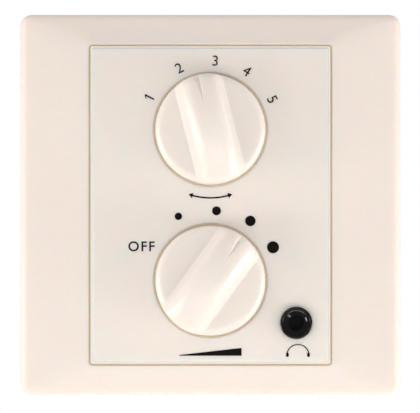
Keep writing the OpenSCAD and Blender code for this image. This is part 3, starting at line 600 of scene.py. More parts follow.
@dataclass(frozen=True)
class Solder(Finish):
    """Bright solder with a frosted skin."""

    frost_mm: float = 0.35
    frost_depth_mm: float = 0.02
    flux: Colour = (176, 158, 120)
    flux_mm: float = 1.4
    flux_share: Point2 = (-0.3, 0.5)
    metallic: float = 0.9
    wear_mm: float = 0.8
    wear: float = 0.12

    def lay_out(self, sheet: ShaderSheet) -> None:
        """Adds frosting and flux stains.

        Args:
            sheet: The material's nodes.
        """
        frost = sheet.noise(self.frost_mm, detail=5.0)
        stains = sheet.spread(sheet.noise(self.flux_mm, detail=3.0), *self.flux_share)
        stained = sheet.blend(stains, linear(self.colour), linear(self.flux))
        sheet.link(stained, sheet.shader.inputs["Base Color"])
        sheet.shader.inputs["Metallic"].default_value = self.metallic
        self.wear_roughness(sheet, self.wear_mm, self.wear)
        sheet.bump(frost, self.frost_depth_mm)


@dataclass(frozen=True)
class Banded(Finish):
    """Lacquer or insulation whose colour changes by place along the world's X axis."""

    from_mm: float = 0.0
    to_mm: float = 1.0
    colours: tuple[tuple[float, Colour], ...] = ()
    shade_mm: float = 1.8
    shade_share: Point2 = (0.0, 0.3)
    skin_mm: float = 0.25
    skin_depth_mm: float = 0.006
    wear_mm: float = 1.2
    wear: float = 0.07

    def lay_out(self, sheet: ShaderSheet) -> None:
        """Adds the bands, a slight tone and a fine skin.

        Args:
            sheet: The material's nodes.
        """
        bands = sheet.steps(Axis.X, self.from_mm, self.to_mm, self.colours)
        shade = sheet.spread(sheet.noise(self.shade_mm, detail=4.0), *self.shade_share)
        sheet.link(sheet.blend(shade, bands, linear(self.colour)), sheet.shader.inputs["Base Color"])
        self.wear_roughness(sheet, self.wear_mm, self.wear)
        sheet.bump(sheet.noise(self.skin_mm), self.skin_depth_mm)


BEZEL_IVORY = Moulded(
    "bezel_ivory_satin", (244, 232, 226), 0.46, grain_mm=0.16, mottle=0.006, glow=0.7, wear=0.02
)
PANEL_IVORY = Moulded(
    "panel_ivory_gloss", (241, 234, 229), 0.3, grain_depth_mm=0.002, mottle=0.006, glow=0.7, wear=0.01
)
KNOB_IVORY = Moulded(
    "knob_ivory_gloss", (248, 238, 232), 0.31, grain_depth_mm=0.001, mottle=0.004, glow=0.4, wear=0.01,
    shine=1.0,
)
# Painted shade: the tan colour of the rings in the gaps round the knobs stands for the shade in those gaps.
KNOB_SHADE_TAN = Moulded("seal_tan_soft", (236, 211, 180), 0.6, mottle=0.04, glow=0.3, glow_mm=0.5)
# Painted shade: the gold colour of the strip in the gap round the panel stands for the shade in that gap.
GAP_SHADE_GOLD = Moulded("seal_gold_soft", (222, 182, 130), 0.6, mottle=0.04, glow=0.3, glow_mm=0.5)
# Painted highlight: the near-white strip over the panel's rounded edge stands for the light that edge
# catches.
HIGHLIGHT_IVORY = Moulded("bead_ivory_soft", (255, 251, 244), 0.5, mottle=0.01, glow=0.3, glow_mm=0.5)
CARRIER_GREY = Moulded(
    "carrier_grey_satin", (222, 212, 196), 0.5, grain_depth_mm=0.006, mottle=0.03, glow=0.4
)
BLACK_MOULDING = Moulded("black_moulding_matt", (40, 40, 42), 0.5, edge_gain=1.8, mottle=0.15)
TAN_MOULDING = Moulded("tan_moulding_matt", (214, 198, 158), 0.5, mottle=0.05)
JACK_BLACK = Moulded(
    "socket_black_gloss", (16, 13, 13), 0.12, grain_depth_mm=0.001, edge_gain=1.6, shine=0.9
)
BLOCK_GREEN = Moulded("terminal_green_satin", (62, 140, 92), 0.42, mottle=0.06)
ZINC = Metal("die_cast_zinc", (186, 188, 192), 0.38, stretch=1.0, line_mm=0.4, depth_mm=0.02)
STEEL = Metal("turned_steel", (196, 198, 202), 0.26, axis=Axis.Z)
BALL_STEEL = Metal("polished_steel", (200, 202, 206), 0.1, stretch=1.0, depth_mm=0.001)
SPRING_STEEL = Metal("drawn_spring_wire", (160, 162, 166), 0.3, line_mm=0.1)
PLATED_STEEL = Metal("zinc_plated_steel", (200, 202, 205), 0.3, stretch=3.0)
BRACKET_STEEL = Metal("rolled_bracket_steel", (178, 180, 184), 0.34, axis=Axis.X)
BRASS = Metal("tinned_brass", (206, 184, 128), 0.3, axis=Axis.Y, line_mm=0.2)
LAMINATION = Laminated("varnished_laminations", (96, 98, 102), 0.5)
WINDING_TAPE = Taped("winding_tape_yellow", (226, 178, 62), 0.34)
BOARD_GREEN = SolderMask("board_solder_mask", (40, 110, 66), 0.34)
TRACK_GREEN = SolderMask("masked_copper_track", (70, 142, 84), 0.3)
LEGEND_WHITE = Ink("board_legend_white", (226, 228, 222), 0.6)
PRINT_BLACK = Ink("panel_print_black", (14, 10, 8), 0.5)
SOLDER = Solder("bright_solder", (196, 198, 200), 0.28)
WIRE_BROWN: Colour = (112, 66, 38)
WIRE_COLOURS: tuple[Colour, ...] = (
    (34, 32, 32), WIRE_BROWN, (186, 44, 36), (222, 122, 40), (226, 196, 52), (58, 130, 74)
)
LEAD_COLOURS = Banded(
    "lead_insulation", (120, 40, 32), 0.45, from_mm=-9.0, to_mm=9.0,
    colours=tuple((index / len(WIRE_COLOURS), colour) for index, colour in enumerate(WIRE_COLOURS)),
)
LACQUER_BLUE: Colour = (150, 186, 204)
LEAD_TIN: Colour = (190, 192, 194)
RESISTOR_LACQUER = Banded(
    "resistor_lacquer", LACQUER_BLUE, 0.36, from_mm=-22.6, to_mm=-10.6,
    colours=(
        (0.0, LEAD_TIN), (0.168, LACQUER_BLUE), (0.25, (200, 60, 40)), (0.3, LACQUER_BLUE),
        (0.4, (40, 36, 34)), (0.45, LACQUER_BLUE), (0.53, WIRE_BROWN), (0.58, LACQUER_BLUE),
        (0.72, (190, 150, 60)), (0.77, LACQUER_BLUE), (0.832, LEAD_TIN),
    ),
)

NODE_FINISHES: dict[str, Finish] = {
    "front_panel": PANEL_IVORY,
    "mounting_plate": CARRIER_GREY,
    "jack_body": JACK_BLACK,
    "jack_sleeve_contact": BRASS,
    "jack_ring_contact": BRASS,
    "jack_tip_contact": BRASS,
    "circuit_board": BOARD_GREEN,
    "board_posts": BRASS,
    "board_screws": PLATED_STEEL,
    "transformer_core": LAMINATION,
    "transformer_bobbin": BLACK_MOULDING,
    "transformer_winding": WINDING_TAPE,
    "transformer_bracket": BRACKET_STEEL,
    "transformer_leads": LEAD_COLOURS,
    "terminal_block": BLOCK_GREEN,
    "terminal_clamps": BRASS,
    "terminal_screws": PLATED_STEEL,
    "headphone_resistors": RESISTOR_LACQUER,
}
SWITCH_FINISHES: dict[str, Finish] = {
    "cover": ZINC,
    "case": BLACK_MOULDING,
    "shaft": STEEL,
    "rotor": TAN_MOULDING,
    "wiper": BRASS,
    "contacts": BRASS,
    "detent_balls": BALL_STEEL,
    "detent_springs": SPRING_STEEL,
    "washer": PLATED_STEEL,
    "nut": PLATED_STEEL,
}


def round_rect(half_w: float, half_h: float, radius: float, per_corner: int = 8) -> list[Point2]:
    """Gives the outline of a rectangle with round corners, anticlockwise from the right side.

    Args:
        half_w: Half of the width.
        half_h: Half of the height.
        radius: Corner radius.
        per_corner: Number of chords in each corner.

    Returns:
        The points of the outline.
    """
    points = []
    for quarter, (sx, sy) in enumerate(((1, 1), (-1, 1), (-1, -1), (1, -1))):
        for step in range(per_corner + 1):
            turn = math.pi / 2 * (quarter + step / per_corner)
            x = sx * (half_w - radius) + radius * math.cos(turn)
            y = sy * (half_h - radius) + radius * math.sin(turn)
            points.append((x, y))
    return points


def circle(radius: float, sides: int) -> list[Point2]:
    """Gives the points of a circle round the origin."""
    turns = (2 * math.pi * i / sides for i in range(sides))
    return [(radius * math.cos(t), radius * math.sin(t)) for t in turns]


def at_height(outline: Sequence[Point2], z: float) -> list[Point3]:
    """Lifts a flat outline to a height."""
    return [(x, y, z) for x, y in outline]


def on_arc(centre: Point2, radius: float, turn: float) -> Point2:
    """Gives the point of a circle at an angle, in degrees clockwise from the top."""
    out = math.radians(turn)
    return centre[0] + radius * math.sin(out), centre[1] + radius * math.cos(out)


def arc(centre: Point2, radius: float, start: float, stop: float, count: int) -> list[Point2]:
    """Gives points along an arc.

    Args:
        centre: Middle of the arc's circle.
        radius: Radius of the arc.
        start: First angle, in degrees clockwise from the top.
        stop: Last angle, in the same way.
        count: Number of chords.

    Returns:
        The points from start to stop.
    """
    return [on_arc(centre, radius, start + (stop - start) * i / count) for i in range(count + 1)]


class Bench:
    """Hand-modelling moves on one new piece: start a loop, pull it on, close it and smooth it."""

    def __init__(self, name: str, outline: Sequence[Point3]) -> None:
        """Starts the piece as a loop of vertices.

        Args:
            name: Name of the piece.
            outline: Places of the first loop's vertices.
        """
        bpy.ops.object.select_all(action="DESELECT")
        bpy.ops.mesh.primitive_circle_add(vertices=len(outline), radius=1.0, fill_type="NOTHING")
        self.piece = bpy.context.object
        self.piece.name = name
        self.piece.data.name = name
        bpy.ops.object.mode_set(mode="EDIT")
        bpy.ops.mesh.select_mode(type="EDGE")
        bpy.ops.mesh.select_all(action="SELECT")
        self.first = list(range(len(outline)))
        self.loop = list(self.first)
        self._place(outline)

    def _mesh(self) -> bmesh.types.BMesh:
        """Gives the mesh that is being edited, its vertices in order.

        Returns:
            The mesh, its vertices ready to be picked by number.
        """
        mesh = bmesh.from_edit_mesh(self.piece.data)
        mesh.verts.ensure_lookup_table()
        return mesh

    @staticmethod
    def _key(place: Vector) -> tuple[float, ...]:
        """Gives a vertex's place, rounded so that two vertices at one place compare equal."""
        return tuple(round(c, 6) for c in place)

    def _place(self, outline: Sequence[Point3]) -> None:
        """Moves the current loop's vertices to new places.

        Args:
            outline: The new places, in the loop's order.
        """
        mesh = self._mesh()
        for index, point in zip(self.loop, outline):
            mesh.verts[index].co = point
        bmesh.update_edit_mesh(self.piece.data)

    def pull(self, outline: Sequence[Point3]) -> "Bench":
        """Extrudes the current loop and sets the new one at its places.

        Args:
            outline: Places of the new loop's vertices, in the first loop's order.

        Returns:
            This bench, so that moves can follow each other.
        """
        mesh = self._mesh()
        old = {self._key(mesh.verts[index].co): order for order, index in enumerate(self.loop)}
        bpy.ops.mesh.extrude_edges_indiv()
        mesh = self._mesh()
        fresh = {old[self._key(vert.co)]: vert.index for vert in mesh.verts if vert.select}
        self.loop = [fresh[order] for order in range(len(self.loop))]
        self._place(outline)
        return self

    def cap(self) -> "Bench":
        """Closes the current loop with a face.

        Returns:
            This bench, so that moves can follow each other.
        """
        self.select(self.loop)
        bpy.ops.mesh.edge_face_add()
        return self

    def bridge(self) -> "Bench":
        """Joins the current loop back to the first one.

        Returns:
            This bench, so that moves can follow each other.
        """
        self.select([*self.first, *self.loop])
        bpy.ops.mesh.bridge_edge_loops()
        return self

    def select(self, loop: Sequence[int]) -> None:
        """Selects the edges whose two ends are both in a list of vertices.

        Args:
            loop: Numbers of the vertices.
        """
        bpy.ops.mesh.select_all(action="DESELECT")
        mesh = self._mesh()
        wanted = set(loop)
        for edge in mesh.edges:
            edge.select_set(all(v.index in wanted for v in edge.verts))
        bmesh.update_edit_mesh(self.piece.data)

    def done(self, smooth_deg: float = 30.0) -> bpy.types.Object:
        """Leaves edit mode with outward faces and smooth shading.

        Args:
            smooth_deg: Edges that turn more than this stay crisp.

        Returns:
            The piece, still lying on its back in millimetres.
        """
        bpy.ops.mesh.select_all(action="SELECT")
        bpy.ops.mesh.normals_make_consistent(inside=False)
        bpy.ops.object.mode_set(mode="OBJECT")
        bpy.ops.object.shade_smooth_by_angle(angle=math.radians(smooth_deg))
        return self.piece


def prism(name: str, outline: Sequence[Point2], low: float, high: float) -> bpy.types.Object:
    """Models a flat piece with straight sides.

    Args:
        name: Name of the piece.
        outline: Its outline.
        low: Height of its back.
        high: Height of its front.

    Returns:
        The piece, still lying on its back in millimetres.
    """
    bench = Bench(name, at_height(outline, low))
    bench.cap()
    bench.select(bench.first)
    return bench.pull(at_height(outline, high)).cap().done()


def turned(name: str, profile: Sequence[Point2], sides: int, closed: bool) -> bpy.types.Object:
    """Models a round piece from a profile of radius and height.

    Args:
        name: Name of the piece.
        profile: Radius and height of each ring.
        sides: Number of sides of a ring.
        closed: True for a ring whose profile runs back to its start, False for a solid with two caps.

    Returns:
        The piece, still lying on its back in millimetres.
    """
    rings = [at_height(circle(r, sides), z) for r, z in profile]
    bench = Bench(name, rings[0])
    if not closed:
        bench.cap()
        bench.select(bench.first)
    for ring in rings[1:]:
        bench.pull(ring)
    return (bench.bridge() if closed else bench.cap()).done()


def strip(
    name: str, loop: Callable[[float, float], list[Point3]], section: Sequence[Point2], foot_z: float
) -> bpy.types.Object:
    """Models a thin strip by pulling its section round a gap.

    Args:
        name: Name of the piece.
        loop: Gives the loop round the gap at a place across it and a height.
        section: Place across the gap, and height, of each line over the strip's top.
        foot_z: Height of the strip's foot.

    Returns:
        The strip, still lying on its back in millimetres.
    """
    bench = Bench(name, loop(section[0][0], foot_z))
    for across, height in section:
        bench.pull(loop(across, height))
    bench.pull(loop(section[-1][0], foot_z))
    return bench.bridge().done(STRIP_CRISP_DEG)


def join(name: str, pieces: Sequence[bpy.types.Object]) -> bpy.types.Object:
    """Joins pieces into one object.

    Args:
        name: Name of the joined object.
        pieces: The pieces, of which the first takes the others in.

    Returns:
        The joined object.
    """
    bpy.ops.object.select_all(action="DESELECT")
    for piece in pieces:
        piece.select_set(True)
    bpy.context.view_layer.objects.active = pieces[0]
    if len(pieces) > 1:
        bpy.ops.object.join()
    pieces[0].name = name
    pieces[0].data.name = name
    return pieces[0]


def copy_at(piece: bpy.types.Object, spot: Point3) -> bpy.types.Object:
    """Copies a piece with its own mesh and moves the copy's mesh.

    Args:
        piece: The piece to copy.
        spot: How far the copy is moved.

    Returns:
        The copy.
    """
    copy = piece.copy()
    copy.data = piece.data.copy()
    copy.data.transform(Matrix.Translation(spot))
    bpy.context.scene.collection.objects.link(copy)
    return copy


def mount(
    piece: bpy.types.Object, finish: Finish, slot: Slot, body: str = BASE_BODY, *nodes: str
) -> bpy.types.Object:
    """Stands a piece upright in metres, gives it its finish and puts it on its body.

    Args:
        piece: The piece, lying on its back in millimetres.
        finish: Its finish.
        slot: The record's material slot that the finish belongs to; not used.
        body: The body that it rides on.
        nodes: Solids that it stands for.

    Returns:
        The mounted piece.
    """
    piece.data.transform(UPRIGHT)
    piece.data.materials.clear()
    piece.data.materials.append(finish.material())
    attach(piece, body)
    if nodes:
        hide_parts(*nodes)
    LOG.info("%s rides on %s", piece.name, body)
    return piece


@dataclass
class Bezel:
    """Clipped frame: four faces that slope down from the window, with soft mitres and edges."""

    half_side: float = 43.0
    corner_r: float = 2.6
    edge_z: float = 5.6
    edge_r: float = 2.0
    crown_z: float = 9.5
    foot_bevel: float = 0.25
    half_window: Point2 = WINDOW_HALF
    window_r: float = WINDOW_R
    lip_r: float = 0.35
    skirt_z: float = 6.0
    skirt_t: float = 1.3
    wall: float = 1.8
    hollow_r: float = 0.9
    rib: Point3 = (10.0, 1.3, 1.2)
    rib_x: float = 20.0
    rib_z: float = 1.2
    rib_r: float = 0.3
    rib_bite: float = 0.05
    least_r: float = 1.2
    mitre_r: float = 3.6
    face_shares: tuple[float, ...] = (0.04, 0.12, 0.25, 0.4, 0.55, 0.7, 0.82, 0.91, 0.97)
    corner_steps: int = 8
    edge_steps: int = 7
    lip_steps: int = 4
    crisp_deg: float = 28.0

    def slopes(self) -> Point2:
        """Gives the angles at which the side faces and the upper and lower faces fall.

        Returns:
            The two angles, in radians.
        """
        drop = self.crown_z - self.edge_z
        falls = []
        for half in self.half_window:
            run = self.half_side - self.edge_r - half
            falls.append(math.acos(self.edge_r / math.hypot(run, drop)) - math.atan2(run, drop))
        return falls[0], falls[1]

    def ring(self, half: Point2, radius: float, heights: Point2) -> list[Point3]:
        """Gives one loop of the frame.

        Args:
            half: Half of the loop's width and height.
            radius: Corner radius.
            heights: Height along the sides, and along the upper and lower edges.

        Returns:
            The loop's points.
        """
        points = []
        for index, (x, y) in enumerate(round_rect(*half, radius, self.corner_steps)):
            quarter, step = divmod(index, self.corner_steps + 1)
            share = step / self.corner_steps
            upper = share if quarter % 2 == 0 else 1 - share
            points.append((x, y, heights[0] + (heights[1] - heights[0]) * upper))
        return points

    def face(self, share: float) -> list[Point3]:
        """Gives a loop on the sloping faces, from the outer edge at 0 to the window lip at 1.

        Args:
            share: Place between the two edges.

        Returns:
            The loop's points, its corners rounder in between, which softens the mitres.
        """
        outer, lip = self.outer_edge(1.0), self.window_edge(0.0)
        half = [max(p[i] for p in outer) * (1 - share) + max(p[i] for p in lip) * share for i in (0, 1)]
        levels = [low[2] * (1 - share) + high[2] * share for low, high in zip(outer, lip)]
        radius = self.least_r + self.mitre_r * math.sin(math.pi * share)
        return self.ring((half[0], half[1]), radius, (levels[0], levels[self.corner_steps]))

    def outer_edge(self, share: float) -> list[Point3]:
        """Gives a loop on the rounded outer edge, from the wall at 0 to the face at 1.

        Args:
            share: Place on the rounding.

        Returns:
            The loop's points.
        """
        halves, heights = [], []
        for fall in self.slopes():
            turn = share * (math.pi / 2 - fall)
            halves.append(self.half_side - self.edge_r * (1 - math.cos(turn)))
            heights.append(self.edge_z + self.edge_r * math.sin(turn))
        inset = self.half_side - min(halves)
        radius = max(self.least_r, self.corner_r - inset)
        return self.ring((halves[0], halves[1]), radius, (heights[0], heights[1]))

    def window_edge(self, share: float) -> list[Point3]:
        """Gives a loop on the rounded window lip, from the face at 0 to the wall at 1.

        Args:
            share: Place on the rounding.

        Returns:
            The loop's points.
        """
        halves, heights = [], []
        for half, fall in zip(self.half_window, self.slopes()):
            turn = -fall + share * (math.pi / 2 + fall)
            halves.append(half + self.lip_r * (1 - math.sin(turn)))
            heights.append(self.crown_z - self.lip_r * (1 - math.cos(turn)))
        grown = halves[0] - self.half_window[0]
        return self.ring((halves[0], halves[1]), self.window_r + grown, (heights[0], heights[1]))

    def roof(self, out: Point2, radius: float) -> list[Point3]:
        """Gives a loop on the hollow's roof, one wall under the faces.

        Args:
            out: Half of the loop's width and height.
            radius: Corner radius.

        Returns:
            The loop's points.
        """
        heights = []
        for half, edge, fall in zip(out, self.half_window, self.slopes()):
            top = self.crown_z - self.wall / math.cos(fall)
            heights.append(top - (half - edge) * math.tan(fall))
        return self.ring(out, radius, (heights[0], heights[1]))

    def build(self) -> bpy.types.Object:
        """Pulls the frame's section round the window and adds the snap ribs.

        Returns:
            The frame.
        """
        outer = (self.half_side, self.half_side)
        inner = (self.half_side - self.wall, self.half_side - self.wall)
        skirt = (self.half_window[0] + self.skirt_t, self.half_window[1] + self.skirt_t)
        foot = (self.half_side - self.foot_bevel, self.half_side - self.foot_bevel)
        bench = Bench("bezel", self.ring(outer, self.corner_r, (self.foot_bevel, self.foot_bevel)))
        for step in range(self.edge_steps + 1):
            bench.pull(self.outer_edge(step / self.edge_steps))
        for share in self.face_shares:
            bench.pull(self.face(share))
        for step in range(self.lip_steps + 1):
            bench.pull(self.window_edge(step / self.lip_steps))
        bench.pull(self.ring(self.half_window, self.window_r, (self.skirt_z, self.skirt_z)))
        bench.pull(self.ring(skirt, self.window_r + self.skirt_t, (self.skirt_z, self.skirt_z)))
        bench.pull(self.roof(skirt, self.window_r + self.skirt_t))
        bench.pull(self.roof(inner, self.hollow_r))
        bench.pull(self.ring(inner, self.hollow_r, (0.0, 0.0)))
        bench.pull(self.ring(foot, self.corner_r - self.foot_bevel, (0.0, 0.0)))
        frame = bench.bridge().done(self.crisp_deg)
        ribs = [self.snap_rib(sx, sy) for sx in (-1, 1) for sy in (-1, 1)]
        return join("bezel", [frame, *ribs])

    def snap_rib(self, side: int, end: int) -> bpy.types.Object:
        """Models one rib that snaps under the mounting plate's edge.

        Args:
            side: 1 on the right half, -1 on the left.
            end: 1 on the upper wall, -1 on the lower.

        Returns:
            The rib.
        """
        long, deep, tall = self.rib
        middle = end * (self.half_side - self.wall - deep / 2 + self.rib_bite)
        flat = round_rect(long / 2, deep / 2, self.rib_r, SMALL_CORNER_STEPS)
        outline = [(self.rib_x * side + x, middle + y) for x, y in flat]
        return prism("snap_rib", outline, self.rib_z, self.rib_z + tall)

    def assemble(self) -> None:
        """Builds the frame and puts it in place of its solid."""
        mount(self.build(), BEZEL_IVORY, Slot.BEZEL, BASE_BODY, "bezel_frame")


# Sections of the strips beside the window, the gold strip of painted shade in the gap and the near-white
# strip of painted highlight over the panel's edge: inset from the window's wall, and height
GAP_SHADE_SECTION: tuple[Point2, ...] = ((0.01, 9.3), (0.08, 9.45), (0.18, 9.47), (0.27, 9.45))
# Painted highlight strip over the panel's rounded edge
HIGHLIGHT_STRIP_SECTION: tuple[Point2, ...] = (
    (0.28, 9.45), (0.33, 9.49), (0.45, 9.5), (0.58, 9.47), (0.54, 9.39), (0.49, 9.28), (0.44, 9.1)
)


@dataclass
class WindowStrip:
    """Thin strip round the gap between the window and the panel, its colour painted shade of the gap or a
    painted highlight of the panel's edge.
    """

    name: str
    finish: Finish
    slot: Slot
    section: tuple[Point2, ...]
    half_window: Point2 = WINDOW_HALF
    window_r: float = WINDOW_R
    foot_z: float = 6.02

    def loop(self, inset: float, z: float) -> list[Point3]:
        """Gives a loop round the gap, inset from the window's wall."""
        half = (self.half_window[0] - inset, self.half_window[1] - inset)
        return at_height(round_rect(*half, self.window_r - inset), z)

    def assemble(self) -> None:
        """Models the strip and stands it on the mounting plate."""
        piece = strip(self.name, self.loop, self.section, self.foot_z)
        mount(piece, self.finish, self.slot)


@dataclass
class KnobRing:
    """Thin ring in the gap between a knob and its recess, its tan colour painted shade of that gap."""

    switch: Switch
    foot_z: float = 9.21
    section: tuple[Point2, ...] = ((12.84, 9.58), (12.78, 9.68), (12.66, 9.7), (12.56, 9.62))
    corners: int = 96

    def loop(self, radius: float, z: float) -> list[Point3]:
        """Gives a loop round the knob's axis."""
        return at_height([(x, y + self.switch.value) for x, y in circle(radius, self.corners)], z)

    def assemble(self) -> None:
        """Models the ring and lays it on the recess's floor."""
        piece = strip(f"{self.switch.role}_knob_ring", self.loop, self.section, self.foot_z)
        mount(piece, KNOB_SHADE_TAN, Slot.CARRIER)


@dataclass
class GripKnob:
    """Round knob with flat shoulders, a crowned grip bar and a pointer groove, on one switch."""

    switch: Switch
    pointer_deg: float
    foot_z: float = 9.5
    foot_r: float = 12.5
    top_r: float = 12.25
    height: float = 13.1
    shoulder_z: float = 4.1
    rim_r: float = 1.5
    bar_half: float = 5.4
    bar_top_half: float = 4.35
    bar_edge_r: float = 3.0
    bar_foot_r: float = 0.5
    crown_r: float = 24.0
    cross_drop: float = 0.3
    groove_l: float = 7.0
    groove_depth: float = 1.1
    groove_flare: float = 0.9
    hollow_r: float = 10.7
    hollow_z: float = 2.6
    hollow_draft: float = 0.2
    socket_r: float = 3.03
    socket_z: float = 10.8
    foot_round: float = 0.3
    foot_shares: Point2 = (0.1, 0.5)
    groove_least: float = 0.05
    groove_shares: Point3 = (0.0, 0.5, 1.0)
    flat_steps: int = 6
    roll_steps: int = 14
    flank_steps: int = 4
    fillet_steps: int = 6
    shoulder_steps: int = 5
    rim_steps: int = 8
    rim_turn_deg: float = 86.0
    middle_steps: int = 22
    end_steps: int = 8
    crisp_deg: float = 35.0

    def rim_drop(self, x: float, y: float) -> float:
        """Gives how far the rounded rim falls away at a place."""
        inside = min(self.top_r - math.hypot(x, y), self.rim_r)
        return self.rim_r - math.sqrt(max(0.0, self.rim_r**2 - (self.rim_r - inside) ** 2))

    def ridge(self, y: float) -> float:
        """Gives the height of the bar's crown along its middle."""
        return self.height - self.crown_r + math.sqrt(self.crown_r**2 - y * y)

    def groove(self, y: float) -> float:
        """Gives the depth of the pointer groove along the bar.

        Args:
            y: Place along the bar.

        Returns:
            The depth, 0 where the groove has run out.
        """
        start = self.top_r - self.groove_l
        share = (y - start) / self.groove_l
        return max(0.0, share) * self.groove_depth

    def section(self, y_of: Callable[[float], float]) -> list[Point3]:
        """Gives the right half of one cross-section, from the middle to the rim.

        Args:
            y_of: Gives the place along the bar for a distance from its middle.

        Returns:
            The section's points.
        """
        points = []
        y = y_of(0.0)
        deep = self.groove(y)
        half_groove = max(self.groove_least, deep * self.groove_flare)
        flat_half = self.bar_top_half - self.bar_edge_r
        for share in self.groove_shares:
            x = share * half_groove
            points.append((x, y_of(x), self.top(x, y_of(x)) - deep * (1 - share)))
        for step in range(1, self.flat_steps + 1):
            x = half_groove + (flat_half - half_groove) * step / self.flat_steps
            points.append((x, y_of(x), self.top(x, y_of(x))))
        edge_top = self.top(flat_half, y_of(flat_half)) - self.bar_edge_r
        lean = math.atan2(self.bar_half - self.bar_top_half, self.height - self.shoulder_z)
        for step in range(1, self.roll_steps + 1):
            turn = (math.pi / 2 - lean) * step / self.roll_steps
            x = flat_half + self.bar_edge_r * math.sin(turn)
            points.append((x, y_of(x), edge_top + self.bar_edge_r * math.cos(turn)))
        x_top, _, z_top = points[-1]
        foot_arc = self.foot_arc(lean)
        x_foot, z_foot = foot_arc[0]
        for step in range(1, self.flank_steps):
            x = x_top + (x_foot - x_top) * step / self.flank_steps
            y = y_of(x)
            fall = z_foot - self.rim_drop(x, y) - z_top
            points.append((x, y, z_top + fall * step / self.flank_steps))
        for x, z in foot_arc:
            points.append((x, y_of(x), z - self.rim_drop(x, y_of(x))))
        for x in self.shoulder_lines(foot_arc[-1][0]):
            y = y_of(x)
            points.append((x, y, self.shoulder_z - self.rim_drop(x, y)))
        return points

    def foot_arc(self, lean: float) -> list[Point2]:
        """Gives the small fillet between a flank and its shoulder, from the flank outwards.

        Args:
            lean: Angle of the flank from upright, in radians.

        Returns:
            Distance from the middle, and height, of each point.
        """
        reach = self.bar_foot_r * math.tan(math.pi / 4 - lean / 2)
        middle = (self.bar_half + reach, self.shoulder_z + self.bar_foot_r)
        points = []
        for step in range(self.fillet_steps + 1):
            turn = lean + (math.pi / 2 - lean) * step / self.fillet_steps
            x = middle[0] - self.bar_foot_r * math.cos(turn)
            points.append((x, middle[1] - self.bar_foot_r * math.sin(turn)))
        return points

    def top(self, x: float, y: float) -> float:
        """Gives the height of the bar's top at a place."""
        across = x / self.bar_top_half
        return self.ridge(y) - self.cross_drop * across * across - self.rim_drop(x, y)

    def shoulder_lines(self, start: float) -> list[float]:
        """Gives the distances from the middle of the lines on a shoulder, closer near the rim.

        Args:
            start: Distance at which the fillet ends.

        Returns:
            The distances.
        """
        flat_end = self.top_r - self.rim_r
        lines = []
        for step in range(1, self.shoulder_steps + 1):
            lines.append(start + (flat_end - start) * step / self.shoulder_steps)
        for step in range(1, self.rim_steps + 1):
            turn = math.radians(self.rim_turn_deg) * step / self.rim_steps
            lines.append(flat_end + self.rim_r * math.sin(turn))
        return lines

    def lengthwise(self) -> list[float]:
        """Gives the shares of the bar's half length at which sections lie, closer near the ends.

        Returns:
            The shares, from -1 to 1.
        """
        flat_end = 1 - self.rim_r / self.top_r
        reach = range(-self.middle_steps, self.middle_steps + 1)
        middle = [flat_end * step / self.middle_steps for step in reach]
        turns = [math.pi / 2 * step / self.end_steps for step in range(1, self.end_steps + 1)]
        ends = [flat_end + (1 - flat_end) * math.sin(turn) for turn in turns]
        return [*(-share for share in reversed(ends)), *middle, *ends]

    def build(self) -> bpy.types.Object:
        """Shapes a grid into the knob's front and pulls its wall, foot and hollow from the rim.

        Returns:
            The knob, its pointer up and its foot at height 0.
        """
        rows = []
        for share in self.lengthwise():
            half = self.section(lambda x: share * math.sqrt(max(0.0, self.top_r**2 - x * x)))
            left = [(-x, y, z) for x, y, z in reversed(half[1:])]
            rows.append([*left, *half])
        columns = len(rows[0]) - 1
        bpy.ops.object.select_all(action="DESELECT")
        bpy.ops.mesh.primitive_grid_add(x_subdivisions=columns, y_subdivisions=len(rows) - 1, size=2.0)
        knob = bpy.context.object
        knob.name = f"{self.switch.role}_grip_knob"
        knob.data.name = knob.name
        for vert in knob.data.vertices:
            column = round((vert.co.x + 1) / 2 * columns)
            row = round((vert.co.y + 1) / 2 * (len(rows) - 1))
            vert.co = rows[row][column]
        self.pull_wall(knob)
        return knob

    def pull_wall(self, knob: bpy.types.Object) -> None:
        """Pulls the rim down into the wall, under the foot, and up into the hollow and the socket.

        Args:
            knob: The knob, of which only the front is there.
        """
        bpy.ops.object.mode_set(mode="EDIT")
        bpy.ops.mesh.select_mode(type="EDGE")
        bpy.ops.mesh.select_all(action="DESELECT")
        bpy.ops.mesh.select_non_manifold(
            use_wire=False, use_boundary=True, use_multi_face=False, use_non_contiguous=False, use_verts=False
        )
        rings = (
            (self.foot_r, self.foot_round),
            (self.foot_r - self.foot_shares[0] * self.foot_round, self.foot_shares[1] * self.foot_round),
            (self.foot_r - self.foot_round, 0.0),
            (self.hollow_r, 0.0),
            (self.hollow_r - self.hollow_draft, self.hollow_z),
            (self.socket_r, self.hollow_z),
            (self.socket_r, self.socket_z),
        )
        for radius, height in rings:
            bpy.ops.mesh.extrude_edges_indiv()
            mesh = bmesh.from_edit_mesh(knob.data)
            for vert in mesh.verts:
                if vert.select:
                    out = Vector((vert.co.x, vert.co.y)).normalized() * radius
                    vert.co = (out.x, out.y, height)
            bmesh.update_edit_mesh(knob.data)
        bpy.ops.mesh.edge_face_add()
        bpy.ops.mesh.select_all(action="SELECT")
        bpy.ops.mesh.normals_make_consistent(inside=False)
        bpy.ops.object.mode_set(mode="OBJECT")
        bpy.ops.object.shade_smooth_by_angle(angle=math.radians(self.crisp_deg))

    def assemble(self) -> None:
        """Builds the knob, turns it to its pointer angle and puts it on its dial."""
        knob = self.build()
        turn = Matrix.Rotation(-math.radians(self.pointer_deg), 4, "Z")
        knob.data.transform(Matrix.Translation((0.0, self.switch.value, self.foot_z)) @ turn)
        role = self.switch.role
        mount(knob, KNOB_IVORY, Slot.KNOB, f"{role}_dial", f"{role}_knob")


